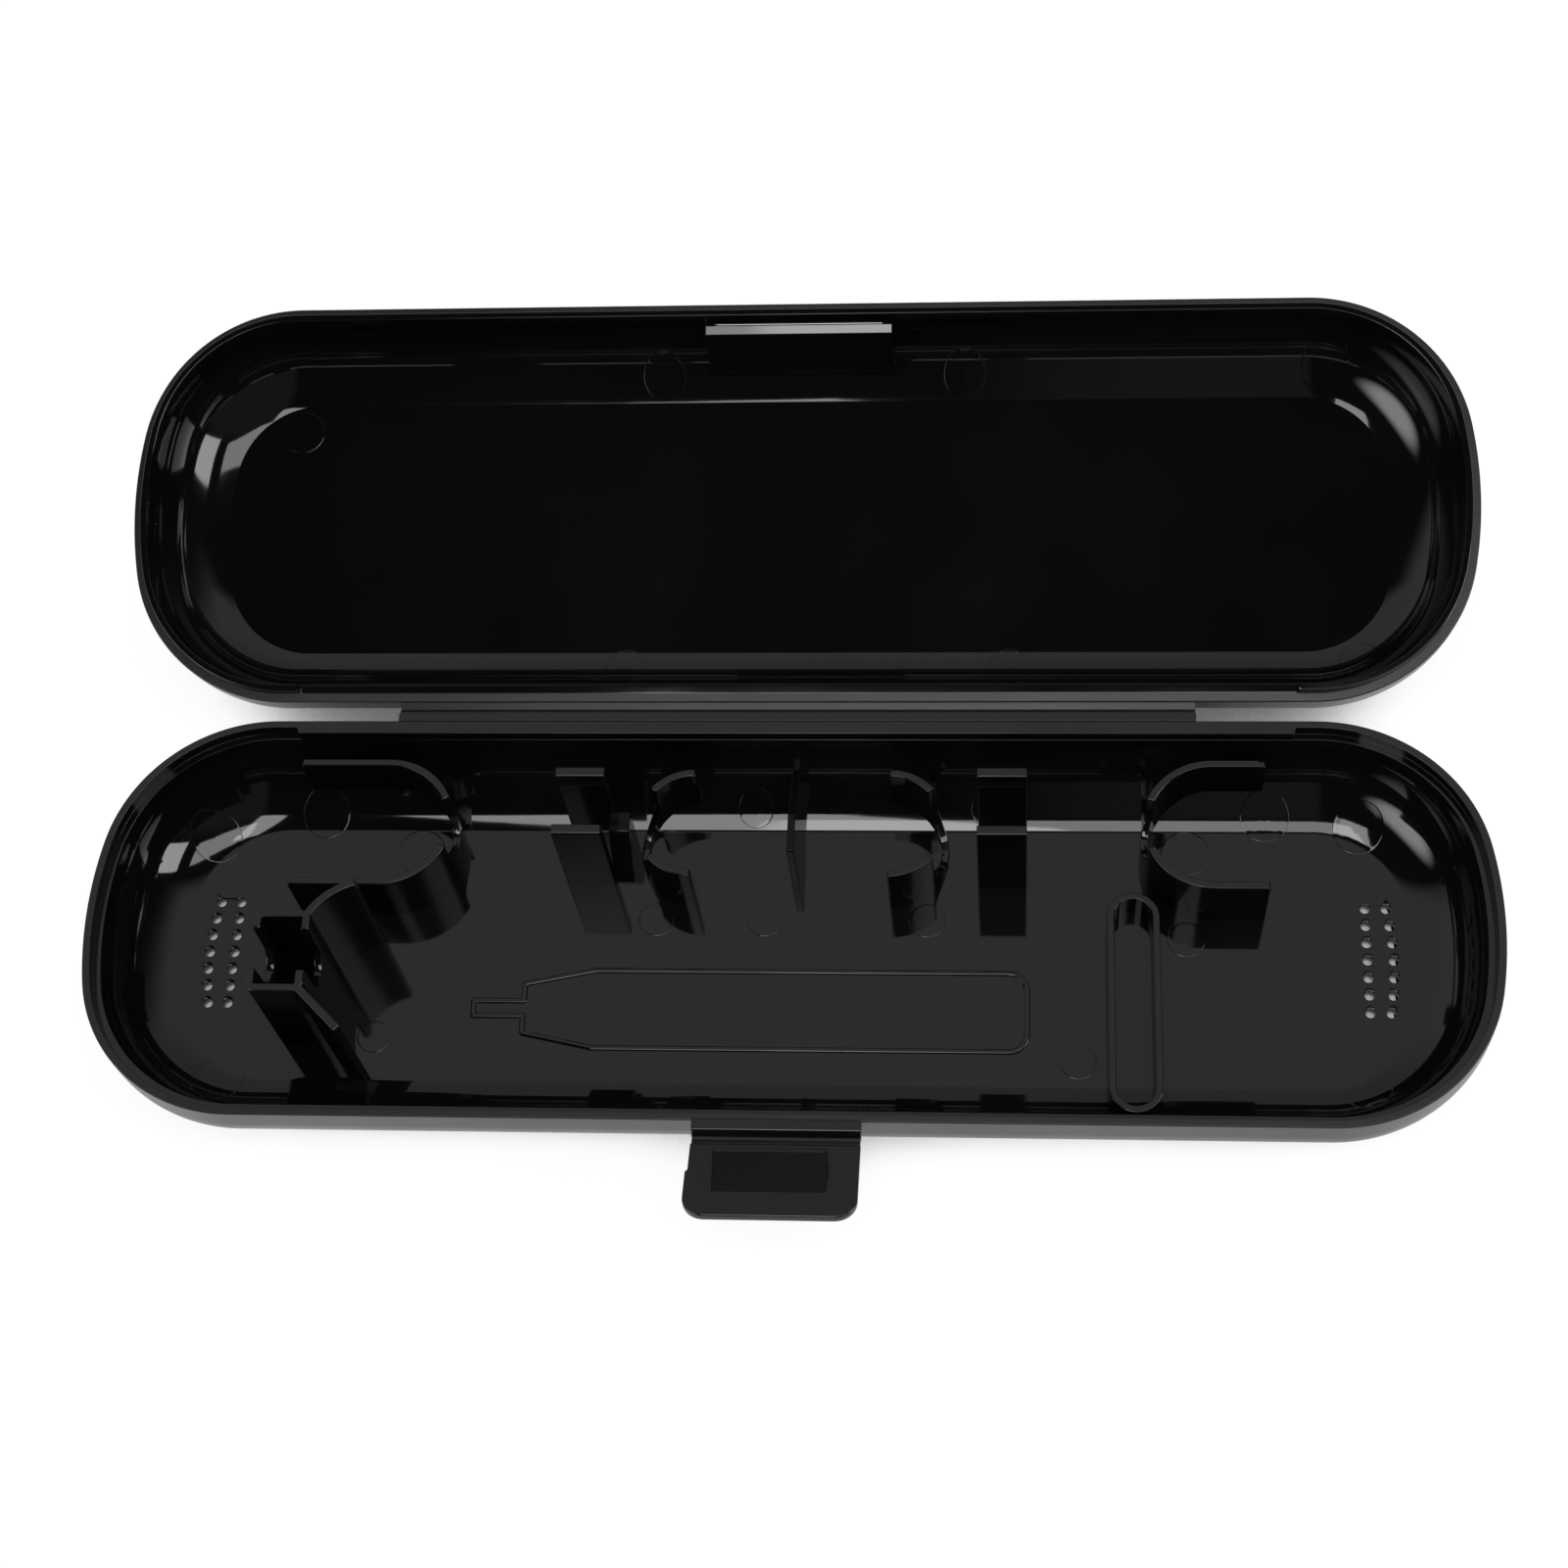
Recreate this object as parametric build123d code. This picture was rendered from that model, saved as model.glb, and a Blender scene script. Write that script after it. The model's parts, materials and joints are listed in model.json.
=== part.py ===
from build123d import *
import os
from math import sqrt

os.makedirs("parts", exist_ok=True)

# Electric toothbrush travel case, open. Millimetres, Z up.
# X runs along the case, Y from the latch side to the hinge side.
# The origin is the centre of the tray's flat underside.
# The lid and the latch are drawn closed, then turned to the open pose.

# Outline of the case seen from above: straight sides, round corners, bulged ends
half_length = 107.5
half_width = 32.9
corner_radius = 25.6
end_radius = 67.0

# Tray walls
tray_floor = 1.6
tray_depth = 16.0
lip_width = 1.2
ledge_width = 1.15
rebate_depth = 2.0
inside_fillet = 12.1
outside_fillet = 13.5
floor_crease_depth = 0.41
rebate_gap_half_length = 78.0

# Lid walls
lid_top = 1.6
lid_depth = 15.0
rim_gap = 0.1
tongue_thickness = 1.05
tongue_side_gap = 0.3
tongue_tip_gap = 0.2
tongue_end_gap = 0.6

# Long hinge between tray and lid
hinge_start_x = -62.0
hinge_end_x = 63.0
hinge_reach = 1.45
hinge_leaf_thickness = 1.2
hinge_web_length = 0.35
hinge_web_thickness = 0.5
lid_open_angle = 164.4

# Latch: block on the tray, flap, and hook rib on the flap
latch_center_x = 0.6
latch_width = 24.9
latch_root_reach = 2.1
latch_root_height = 2.6
latch_root_bevel_run = 0.7
latch_root_bevel_drop = 1.2
latch_axis_reach = 0.5
latch_axis_drop = 1.45
latch_web_thickness = 0.6
flap_length = 14.2
flap_inner_height = 0.85
flap_outer_height = 0.35
flap_start_outer = 0.4
flap_start_inner = 1.2
flap_corner_radius = 3.3
flap_step_start = 6.0
flap_step_width = 0.35
flap_open_angle = 20.0
hook_width = 16.5
hook_offset_x = -0.4
hook_height = 2.7
hook_crest = 0.7
hook_ramp_length = 5.2
hook_catch_gap = 0.1

# Catch in the lid's front wall
catch_bar_height = 2.4
pocket_half_width = 15.25
pocket_wall = 1.6
pocket_ledge = 1.0
pocket_inset_at_bar = 4.3
pocket_inset_at_top = 8.2

# Walls that stand on the tray floor
fitting_wall = 1.2
holder_height = 11.8
row_y = 17.35

# Brush hooks: U shapes that open towards the ends of the case
hook_bend_radius = 10.3
right_hook_end_inset = 33.7
right_hook_arm = 8.3
left_hook_end_inset = 29.6
left_hook_arm = 14.3
hook_notch_width = 7.5
hook_notch_height = 4.5

# Head cradles: C shapes that open towards the middle of the case
cradle_radius = 8.6
left_cradle_x = -14.75
right_cradle_x = 15.65
cradle_notch_width = 10.8
cradle_notch_height = 1.0

# Upright posts, in two pairs
post_height = 19.5
post_thickness = 1.75
post_length = 7.6
neck_gap = 8.0
left_posts_x = -31.75
right_posts_x = 33.2
clip_bump_radius = 0.6
clip_bump_drop = 2.2
lug_length = 3.0
lug_width = 8.0
lug_height = 10.0
lug_offset_y = -1.35

# Rib between the cradles
fin_x = 0.6
fin_thickness = 1.2
fin_front_y = 12.4

# Handle well and the walls that lead to it
well_height = 22.5
well_end_inset = 32.75
well_center_y = -9.2
well_length = 8.7
well_width = 13.15
well_notch_width = 6.0
well_notch_height = 12.5
back_wing_run = 6.8
back_wing_rise = 5.3
back_wing_bulge = 0.85
front_wing_run = 6.6
front_wing_drop = 6.4

# Low ring under the handle's foot
ring_end_inset = 54.15
ring_width = 8.1
ring_wall = 1.1
ring_height = 5.0
ring_back_y = 8.8
ring_front_inset = 5.9

# Thin raised line that shows where the handle lies
line_width = 0.9
line_height = 0.3
picture_y = -9.3
stem_start_x = -49.0
collar_x = -41.1
shoulder_x = -30.0
picture_end_x = 37.1
stem_half_width = 1.25
collar_half_width = 4.1
handle_half_width = 6.45
picture_corner_radius = 2.9

# Air holes at both ends
vent_diameter = 1.5
vent_pitch = 2.88
vents_per_column = 7
vent_center_x = 0.4
vent_center_y = -0.2
inner_vents_inset = 18.8
outer_vents_inset = 14.83
outer_vents_radius = 47.6

# Round marks left by the mould's pins: centre x, centre y, radius
pin_mark_depth = 0.12
pin_mark_line = 0.25
pin_marks = [
    (-21.15, 5.9, 2.9),
    (-4.0, 6.0, 2.9),
    (44.8, -17.2, 2.9),
    (61.6, 3.1, 3.0),
    (61.7, 17.7, 3.9),
    (-59.8, 17.5, 3.9),
    (-64.3, -14.3, 2.7),
]

# Heights and places that follow from the values above
tray_wall = lip_width + ledge_width
rim_z = tray_floor + tray_depth
tongue_inset = lip_width + tongue_side_gap
lid_wall = tongue_inset + tongue_thickness
tongue_height = rebate_depth - tongue_tip_gap
lid_rim_z = rim_z + rim_gap
lid_top_z = lid_rim_z + lid_depth + lid_top
hinge_y = half_width + hinge_reach + hinge_web_length
hinge_z = rim_z - hinge_leaf_thickness / 2
hinge_axis = Axis((0, hinge_y, hinge_z), (1, 0, 0))
latch_root_y = -half_width - latch_root_reach
latch_y = latch_root_y - latch_axis_reach
latch_z = rim_z - latch_axis_drop
latch_axis = Axis((0, latch_y, latch_z), (1, 0, 0))
latch_start_x = latch_center_x - latch_width / 2
latch_end_x = latch_center_x + latch_width / 2
catch_z = lid_rim_z + catch_bar_height
well_center_x = -half_length + well_end_inset
ring_center_x = half_length - ring_end_inset
ring_length = ring_back_y + half_width - ring_front_inset
ring_center_y = ring_back_y - ring_length / 2
above_case = lid_top_z + post_height
beyond_case = 2 * half_width


def outline(inset):
    """Face of the case outline, drawn inwards by an even distance."""
    reach = half_length - inset
    side = half_width - inset
    corner = corner_radius - inset
    end_center_x = half_length - end_radius
    corner_y = half_width - corner_radius
    center_gap = end_radius - corner_radius
    corner_x = end_center_x + sqrt(center_gap**2 - corner_y**2)
    toward_x = (corner_x - end_center_x) / center_gap
    toward_y = corner_y / center_gap
    join_x = corner_x + corner * toward_x
    join_y = corner_y + corner * toward_y
    middle_length = sqrt(toward_x**2 + (1 + toward_y) ** 2)
    middle_x = corner_x + corner * toward_x / middle_length
    middle_y = corner_y + corner * (1 + toward_y) / middle_length
    edges = []
    for turn in (1, -1):
        start = (turn * corner_x, -turn * side)
        before = (turn * join_x, -turn * join_y)
        after = (turn * join_x, turn * join_y)
        finish = (turn * corner_x, turn * side)
        edges.append(Line((-turn * corner_x, -turn * side), start))
        edges.append(ThreePointArc(start, (turn * middle_x, -turn * middle_y), before))
        edges.append(ThreePointArc(before, (turn * reach, 0), after))
        edges.append(ThreePointArc(after, (turn * middle_x, turn * middle_y), finish))
    return make_face(edges)


def prism(face, bottom, top):
    """Upright solid on a face, from one height to another."""
    return extrude(Pos(0, 0, bottom) * face, top - bottom)


def block(x_range, y_range, z_range):
    """Box from its ranges along X, Y and Z."""
    sizes = [high - low for low, high in (x_range, y_range, z_range)]
    middles = [(high + low) / 2 for low, high in (x_range, y_range, z_range)]
    return Pos(*middles) * Box(*sizes)


def bar(profile, start_x, end_x):
    """Bar along X with a profile of (y, z) points."""
    face = Plane.YZ.offset(start_x) * make_face(Polyline(profile, close=True))
    return extrude(face, end_x - start_x)


def hinge_side(margin):
    """Face over the hinge side of the rim, where it has no step."""
    half_run = rebate_gap_half_length + margin
    return Pos(0, half_width / 2) * Rectangle(2 * half_run, half_width + 2 * margin)


def rounded_space(inset, bottom, top, round_side):
    """Space inside walls whose round foot meets the flat floor in a faint crease."""
    if round_side < 0:
        space = prism(outline(inset), bottom - floor_crease_depth, top)
    else:
        space = prism(outline(inset), bottom, top + floor_crease_depth)
    foot = space.edges().group_by(Axis.Z)[0 if round_side < 0 else -1]
    limits = block((-half_length, half_length), (-half_width, half_width), (bottom, top))
    return fillet(foot, inside_fillet) & limits


tray_space = rounded_space(tray_wall, tray_floor, above_case, -1)


def stand(face, height):
    """Wall on the tray floor that follows the round foot of the tray's walls."""
    return prism(face, 0, tray_floor + height) & tray_space


def neck_notch(center, width, bottom, along):
    """Upright notch with a round bottom, cut through along X or Y."""
    radius = width / 2
    center_z = tray_floor + bottom + radius
    half_run = 3 * fitting_wall
    x, y = center
    if along == "X":
        ranges = ((x - half_run, x + half_run), (y - radius, y + radius))
        turn = Rot(0, 90, 0)
    else:
        ranges = ((x - radius, x + radius), (y - half_run, y + half_run))
        turn = Rot(90, 0, 0)
    shaft = block(*ranges, (center_z, above_case))
    return shaft + Pos(x, y, center_z) * turn * Cylinder(radius, 2 * half_run)


def vent_places():
    """Centres of the air holes: a straight inner and a bowed outer column at each end."""
    places = []
    for step in range(vents_per_column):
        along = (step - (vents_per_column - 1) / 2) * vent_pitch
        bow = outer_vents_radius - sqrt(outer_vents_radius**2 - along**2)
        for side in (-1, 1):
            inner_x = vent_center_x + side * (half_length - inner_vents_inset)
            outer_x = vent_center_x + side * (half_length - outer_vents_inset - bow)
            places.append((inner_x, vent_center_y + along))
            places.append((outer_x, vent_center_y + along))
    return places


def base_tray():
    tray = prism(outline(0), 0, rim_z)
    tray = fillet(tray.edges().group_by(Axis.Z)[0], outside_fillet)
    tray -= tray_space
    step = outline(lip_width) - outline(tray_wall) - hinge_side(0)
    tray -= prism(step, rim_z - rebate_depth, rim_z)
    holes = [Pos(x, y) * Circle(vent_diameter / 2) for x, y in vent_places()]
    tray -= extrude(Sketch() + holes, tray_floor)
    rings = [Pos(x, y) * (Circle(r) - Circle(r - pin_mark_line)) for x, y, r in pin_marks]
    tray -= prism(Sketch() + rings, tray_floor - pin_mark_depth, tray_floor)
    return tray


def hinge_leaf(bottom):
    return block(
        (hinge_start_x, hinge_end_x),
        (half_width, half_width + hinge_reach),
        (bottom, bottom + hinge_leaf_thickness),
    )


def hinge_web():
    half_web = hinge_web_thickness / 2
    strip = block(
        (hinge_start_x, hinge_end_x),
        (half_width + hinge_reach, hinge_y),
        (hinge_z - half_web, hinge_z + half_web),
    )
    length = hinge_end_x - hinge_start_x
    bead = Rot(0, 90, 0) * Cylinder(half_web, length)
    return strip + Pos((hinge_start_x + hinge_end_x) / 2, hinge_y, hinge_z) * bead


def brush_hook(side, end_inset, arm):
    """U shape that opens towards one end of the case: an arm, a half-round bend and an arm."""
    end_x = side * (half_length - end_inset)
    bend_x = end_x - side * arm
    low_y = row_y - hook_bend_radius
    high_y = row_y + hook_bend_radius
    path = [
        Line((end_x, low_y), (bend_x, low_y)),
        ThreePointArc((bend_x, low_y), (bend_x - side * hook_bend_radius, row_y), (bend_x, high_y)),
        Line((bend_x, high_y), (end_x, high_y)),
    ]
    wall = stand(trace(path, fitting_wall), holder_height)
    center = (bend_x - side * hook_bend_radius, row_y)
    return wall - neck_notch(center, hook_notch_width, hook_notch_height, "X")


def head_cradle(center_x):
    """C shape: a half-round wall with a deep notch in its back."""
    side = 1 if center_x > 0 else -1
    back = (center_x + side * cradle_radius, row_y)
    ends = ((center_x, row_y - cradle_radius), (center_x, row_y + cradle_radius))
    path = ThreePointArc(ends[0], back, ends[1])
    wall = stand(trace(path, fitting_wall), holder_height)
    return wall - neck_notch(back, cradle_notch_width, cradle_notch_height, "X")


def post(center_x, side):
    """Upright post on one side of the brush neck, with a small bump that clips it in."""
    inner_y = row_y + side * neck_gap / 2
    outer_y = inner_y + side * post_thickness
    x_range = (center_x - post_length / 2, center_x + post_length / 2)
    y_range = (min(inner_y, outer_y), max(inner_y, outer_y))
    column = block(x_range, y_range, (tray_floor, tray_floor + post_height)) & tray_space
    bump_z = tray_floor + post_height - clip_bump_drop
    bump = Pos(center_x, inner_y, bump_z) * Rot(0, 90, 0) * Cylinder(clip_bump_radius, post_length)
    return column + bump


def post_lug():
    start_x = left_posts_x + post_length / 2
    low_y = row_y + lug_offset_y - lug_width / 2
    return block(
        (start_x, start_x + lug_length),
        (low_y, low_y + lug_width),
        (tray_floor, tray_floor + lug_height),
    )


def center_fin():
    face_x = (fin_x - fin_thickness / 2, fin_x + fin_thickness / 2)
    slab = block(face_x, (fin_front_y, half_width), (0, tray_floor + holder_height))
    return slab & tray_space


def handle_well():
    """Tall rectangular socket with a neck notch in both end walls."""
    outside = Rectangle(well_length, well_width)
    inside = Rectangle(well_length - 2 * fitting_wall, well_width - 2 * fitting_wall)
    walls = stand(Pos(well_center_x, well_center_y) * (outside - inside), well_height)
    for side in (-1, 1):
        end_x = well_center_x + side * (well_length - fitting_wall) / 2
        notch_center = (end_x, well_center_y)
        half_run = block(
            (end_x - fitting_wall, end_x + fitting_wall),
            (well_center_y - well_width, well_center_y + well_width),
            (0, above_case),
        )
        walls -= neck_notch(notch_center, well_notch_width, well_notch_height, "X") & half_run
    return walls


def well_corner(side):
    """Middle of the wall corner from which a wing starts."""
    x = well_center_x + (well_length - fitting_wall) / 2
    y = well_center_y + side * (well_width - fitting_wall) / 2
    return x, y


def handle_wing(side):
    """Wall from a corner of the well: bowed at the back, straight at the front."""
    x, y = well_corner(side)
    if side > 0:
        end = (x + back_wing_run, y + back_wing_rise)
        length = sqrt(back_wing_run**2 + back_wing_rise**2)
        middle = (
            x + back_wing_run / 2 - back_wing_bulge * back_wing_rise / length,
            y + back_wing_rise / 2 + back_wing_bulge * back_wing_run / length,
        )
        path = ThreePointArc((x, y), middle, end)
    else:
        path = Line((x, y), (x + front_wing_run, y - front_wing_drop))
    wall = trace(path, fitting_wall)
    corner = Pos(x, y) * Rectangle(fitting_wall, fitting_wall)
    well = Pos(well_center_x, well_center_y) * Rectangle(well_length, well_width)
    return stand(wall + corner - well, well_height)


def handle_rest_ring():
    """Low ring with round ends, closed off against the round foot of the front wall."""
    middle = Pos(ring_center_x, ring_center_y) * Rot(0, 0, 90)
    outside = middle * SlotOverall(ring_length, ring_width)
    inside = middle * SlotOverall(ring_length - 2 * ring_wall, ring_width - 2 * ring_wall)
    return stand(outside - inside, ring_height)


def handle_outline():
    """Thin line round a plain brush handle: stem, collar, sloping shoulders and body."""
    corner = picture_corner_radius
    sides = []
    for side in (-1, 1):
        stem_y = picture_y + side * stem_half_width
        collar_y = picture_y + side * collar_half_width
        body_y = picture_y + side * handle_half_width
        turn_y = body_y - side * corner
        bend_shift = corner * (1 - sqrt(0.5))
        points = [
            (stem_start_x, picture_y),
            (stem_start_x, stem_y),
            (collar_x, stem_y),
            (collar_x, collar_y),
            (shoulder_x, body_y),
            (picture_end_x - corner, body_y),
        ]
        sides += [Line(start, finish) for start, finish in zip(points, points[1:])]
        bend = (picture_end_x - bend_shift, body_y - side * bend_shift)
        sides.append(ThreePointArc(points[-1], bend, (picture_end_x, turn_y)))
        sides.append(Line((picture_end_x, turn_y), (picture_end_x, picture_y)))
    return prism(trace(sides, line_width), tray_floor, tray_floor + line_height)


def latch_root():
    profile = [
        (-half_width, rim_z),
        (latch_root_y + latch_root_bevel_run, rim_z),
        (latch_root_y, rim_z - latch_root_bevel_drop),
        (latch_root_y, rim_z - latch_root_height),
        (-half_width, rim_z - latch_root_height),
    ]
    return bar(profile, latch_start_x, latch_end_x)


def latch_web():
    half_web = latch_web_thickness / 2
    strip = block(
        (latch_start_x, latch_end_x),
        (latch_y, latch_root_y),
        (latch_z - half_web, latch_z + half_web),
    )
    bead = Rot(0, 90, 0) * Cylinder(half_web, latch_width)
    return strip + Pos(latch_center_x, latch_y, latch_z) * bead


def latch_flap():
    """Flap drawn level, pointing away from the tray."""
    inner_z = latch_z + flap_inner_height
    outer_z = latch_z - flap_outer_height
    tip_y = latch_y - flap_length
    profile = [
        (latch_y - flap_start_outer, outer_z),
        (latch_y - flap_start_inner, inner_z),
        (tip_y, inner_z),
        (tip_y, outer_z),
    ]
    wide_start_x = latch_start_x - flap_step_width
    step_y = latch_y - flap_step_start
    plan = [
        (latch_start_x, latch_y),
        (latch_start_x, step_y),
        (wide_start_x, step_y),
        (wide_start_x, tip_y),
        (latch_end_x, tip_y),
        (latch_end_x, latch_y),
    ]
    plate = prism(make_face(Polyline(plan, close=True)), outer_z, inner_z)
    tip_corners = plate.edges().filter_by(Axis.Z).group_by(Axis.Y)[0]
    plate = fillet(tip_corners, flap_corner_radius)
    return plate & bar(profile, wide_start_x, latch_end_x)


def latch_hook():
    """Rib on the flap's inner face: a steep side towards the hinge and a long ramp."""
    face_z = latch_z + flap_inner_height
    start = catch_z + hook_catch_gap - latch_z
    profile = [
        (latch_y - start, face_z),
        (latch_y - start, face_z + hook_height),
        (latch_y - start - hook_crest, face_z + hook_height),
        (latch_y - start - hook_crest - hook_ramp_length, face_z),
    ]
    middle_x = latch_center_x + hook_offset_x
    return bar(profile, middle_x - hook_width / 2, middle_x + hook_width / 2)


def pocket_prism(inset, floor_z, half_width_x):
    """Slanted wedge through the lid's front wall and top, deeper towards the top."""
    slope = (pocket_inset_at_top - pocket_inset_at_bar) / (lid_depth - catch_bar_height)
    top_inset = inset + slope * (above_case - catch_z)
    profile = [
        (-beyond_case, floor_z),
        (-half_width + inset, floor_z),
        (-half_width + top_inset, above_case),
        (-beyond_case, above_case),
    ]
    return bar(profile, -half_width_x, half_width_x)


def lid_block():
    """Outer shape of the closed lid."""
    solid = prism(outline(0), lid_rim_z, lid_top_z)
    return fillet(solid.edges().group_by(Axis.Z)[-1], outside_fillet)


def lid_shell():
    shell = lid_block() - rounded_space(lid_wall, lid_rim_z, lid_rim_z + lid_depth, 1)
    tongue = outline(tongue_inset) - outline(lid_wall) - hinge_side(tongue_end_gap)
    shell += prism(tongue, lid_rim_z - tongue_height, lid_rim_z)
    return shell - pocket_prism(pocket_inset_at_bar, catch_z, pocket_half_width)


def catch_pocket():
    """Walls of the pocket; its space opens to the front and the top of the lid."""
    outside = pocket_prism(pocket_inset_at_bar, catch_z, pocket_half_width) & lid_block()
    inner_half_width = pocket_half_width - pocket_wall
    space = pocket_prism(pocket_inset_at_bar - pocket_wall, catch_z, inner_half_width)
    ledge = block(
        (-pocket_half_width, pocket_half_width),
        (-half_width + lid_wall, 0),
        (catch_z, catch_z + pocket_ledge),
    )
    return outside - (space - ledge)


def opened_lid(solid):
    return solid.rotate(hinge_axis, -lid_open_angle)


def opened_latch(solid):
    return solid.rotate(latch_axis, -flap_open_angle)


nodes = {
    "base_tray": base_tray(),
    "base_hinge_leaf": hinge_leaf(rim_z - hinge_leaf_thickness),
    "hinge_web": hinge_web(),
    "brush_hook_left": brush_hook(-1, left_hook_end_inset, left_hook_arm),
    "brush_hook_right": brush_hook(1, right_hook_end_inset, right_hook_arm),
    "head_cradle_left": head_cradle(left_cradle_x),
    "head_cradle_right": head_cradle(right_cradle_x),
    "center_fin": center_fin(),
    "left_post_front": post(left_posts_x, -1),
    "left_post_back": post(left_posts_x, 1),
    "right_post_front": post(right_posts_x, -1),
    "right_post_back": post(right_posts_x, 1),
    "post_lug": post_lug(),
    "handle_well": handle_well(),
    "handle_wing_back": handle_wing(1),
    "handle_wing_front": handle_wing(-1),
    "handle_rest_ring": handle_rest_ring(),
    "handle_outline": handle_outline(),
    "latch_root": latch_root(),
    "latch_web": latch_web(),
    "lid_shell": opened_lid(lid_shell()),
    "lid_hinge_leaf": opened_lid(hinge_leaf(lid_rim_z)),
    "catch_pocket": opened_lid(catch_pocket()),
    "latch_flap": opened_latch(latch_flap()),
    "latch_hook": opened_latch(latch_hook()),
}

for name, solid in nodes.items():
    export_step(solid, "parts/" + name + ".step")
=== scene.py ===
import json
import math
import bmesh
import bpy
import numpy as np
from mathutils import Matrix, Vector


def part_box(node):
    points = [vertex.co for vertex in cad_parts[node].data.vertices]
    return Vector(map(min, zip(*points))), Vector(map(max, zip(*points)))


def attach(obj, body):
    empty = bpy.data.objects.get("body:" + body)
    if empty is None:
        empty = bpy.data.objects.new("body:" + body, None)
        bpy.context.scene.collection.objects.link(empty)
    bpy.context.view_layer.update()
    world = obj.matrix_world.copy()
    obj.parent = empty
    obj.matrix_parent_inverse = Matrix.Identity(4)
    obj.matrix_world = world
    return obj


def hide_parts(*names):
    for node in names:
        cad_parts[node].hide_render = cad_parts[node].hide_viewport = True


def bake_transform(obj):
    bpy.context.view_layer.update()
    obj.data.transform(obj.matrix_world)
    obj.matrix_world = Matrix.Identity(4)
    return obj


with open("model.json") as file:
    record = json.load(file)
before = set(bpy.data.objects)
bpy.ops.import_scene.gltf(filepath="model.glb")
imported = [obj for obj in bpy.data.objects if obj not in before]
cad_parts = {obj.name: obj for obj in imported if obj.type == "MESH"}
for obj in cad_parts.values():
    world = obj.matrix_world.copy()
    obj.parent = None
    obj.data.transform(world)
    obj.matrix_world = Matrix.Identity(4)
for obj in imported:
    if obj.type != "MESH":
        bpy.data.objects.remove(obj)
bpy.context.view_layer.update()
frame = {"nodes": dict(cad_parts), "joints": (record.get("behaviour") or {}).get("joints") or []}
print("frame loaded:", len(frame["nodes"]), "nodes")

# All shapes are worked out in millimetres and become metres when a mesh is made.
mm = 0.001


def unit(vectors):
    # each vector divided by its length
    return vectors / np.maximum(np.linalg.norm(vectors, axis=-1, keepdims=True), 1e-12)


def roundCorners(corners, radii, closed=False, stepAngle=12.0):
    # Each corner becomes an arc that touches both legs: it starts radius / tan(half the inner angle) away.
    corners = np.array(corners, float)
    radii = np.broadcast_to(radii, len(corners))
    line = []
    for index, (corner, radius) in enumerate(zip(corners, radii)):
        if radius <= 0 or (not closed and index in (0, len(corners) - 1)):
            line.append(corner[None])
            continue
        back = unit(corners[index - 1] - corner)
        ahead = unit(corners[(index + 1) % len(corners)] - corner)
        halfAngle = math.acos(np.clip(back @ ahead, -1, 1)) / 2
        middle = corner + unit(back + ahead) * radius / math.sin(halfAngle)
        first = corner + back * radius / math.tan(halfAngle) - middle
        last = corner + ahead * radius / math.tan(halfAngle) - middle
        turn = math.atan2(first[0] * last[1] - first[1] * last[0], first @ last)
        count = max(3, int(abs(math.degrees(turn)) / stepAngle) + 2)
        angles = math.atan2(first[1], first[0]) + turn * np.linspace(0, 1, count)
        line.append(middle + radius * np.stack([np.cos(angles), np.sin(angles)], 1))
    return np.concatenate(line)


def lengthAlong(line):
    # running length of a polyline
    return np.concatenate([[0], np.cumsum(np.linalg.norm(np.diff(line, axis=0), axis=1))])


def leftNormals(line, closed=False):
    # mean of the two neighbouring segments' left-hand normals
    steps = np.diff(line, axis=0)
    sides = unit(np.stack([-steps[:, 1], steps[:, 0]], 1))
    if closed:
        wrap = line[:1] - line[-1:]
        sides = np.concatenate([sides, unit(np.stack([-wrap[:, 1], wrap[:, 0]], 1))])
        return unit(sides + np.roll(sides, 1, 0))
    return unit(np.concatenate([sides[:1], sides]) + np.concatenate([sides, sides[-1:]]))


def densify(line, step):
    # more points where a line runs far along its first coordinate
    run = np.concatenate([[0], np.cumsum(np.abs(np.diff(line[:, 0])) + 1e-6)])
    wanted = np.unique(np.concatenate([run, np.linspace(0, run[-1], int(run[-1] / step) + 2)]))
    keep = np.concatenate([[True], np.diff(wanted) > 1e-7])
    return np.stack([np.interp(wanted[keep], run, line[:, k]) for k in (0, 1)], 1)


def gridFaces(rows, columns, wrapRows=False, wrapColumns=False, start=0):
    # quads between neighbouring rows and columns of a grid whose first point has the number start
    i = np.arange(rows if wrapRows else rows - 1)[:, None]
    j = np.arange(columns if wrapColumns else columns - 1)[None]
    nextRow, nextColumn = (i + 1) % rows, (j + 1) % columns
    corners = [i * columns + j, i * columns + nextColumn,
               nextRow * columns + nextColumn, nextRow * columns + j]
    return (np.stack(np.broadcast_arrays(*corners), -1).reshape(-1, 4) + start).tolist()


def turnedAboutX(points, center, degrees):
    # turn about a line along X through center = (y, z)
    turn = math.radians(degrees)
    y, z = points[..., 1] - center[0], points[..., 2] - center[1]
    turned = [points[..., 0], center[0] + y * math.cos(turn) - z * math.sin(turn),
              center[1] + y * math.sin(turn) + z * math.cos(turn)]
    return np.stack(turned, -1)


shading = dict(sharpAngle=38, mergeDistance=3e-7)


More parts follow.
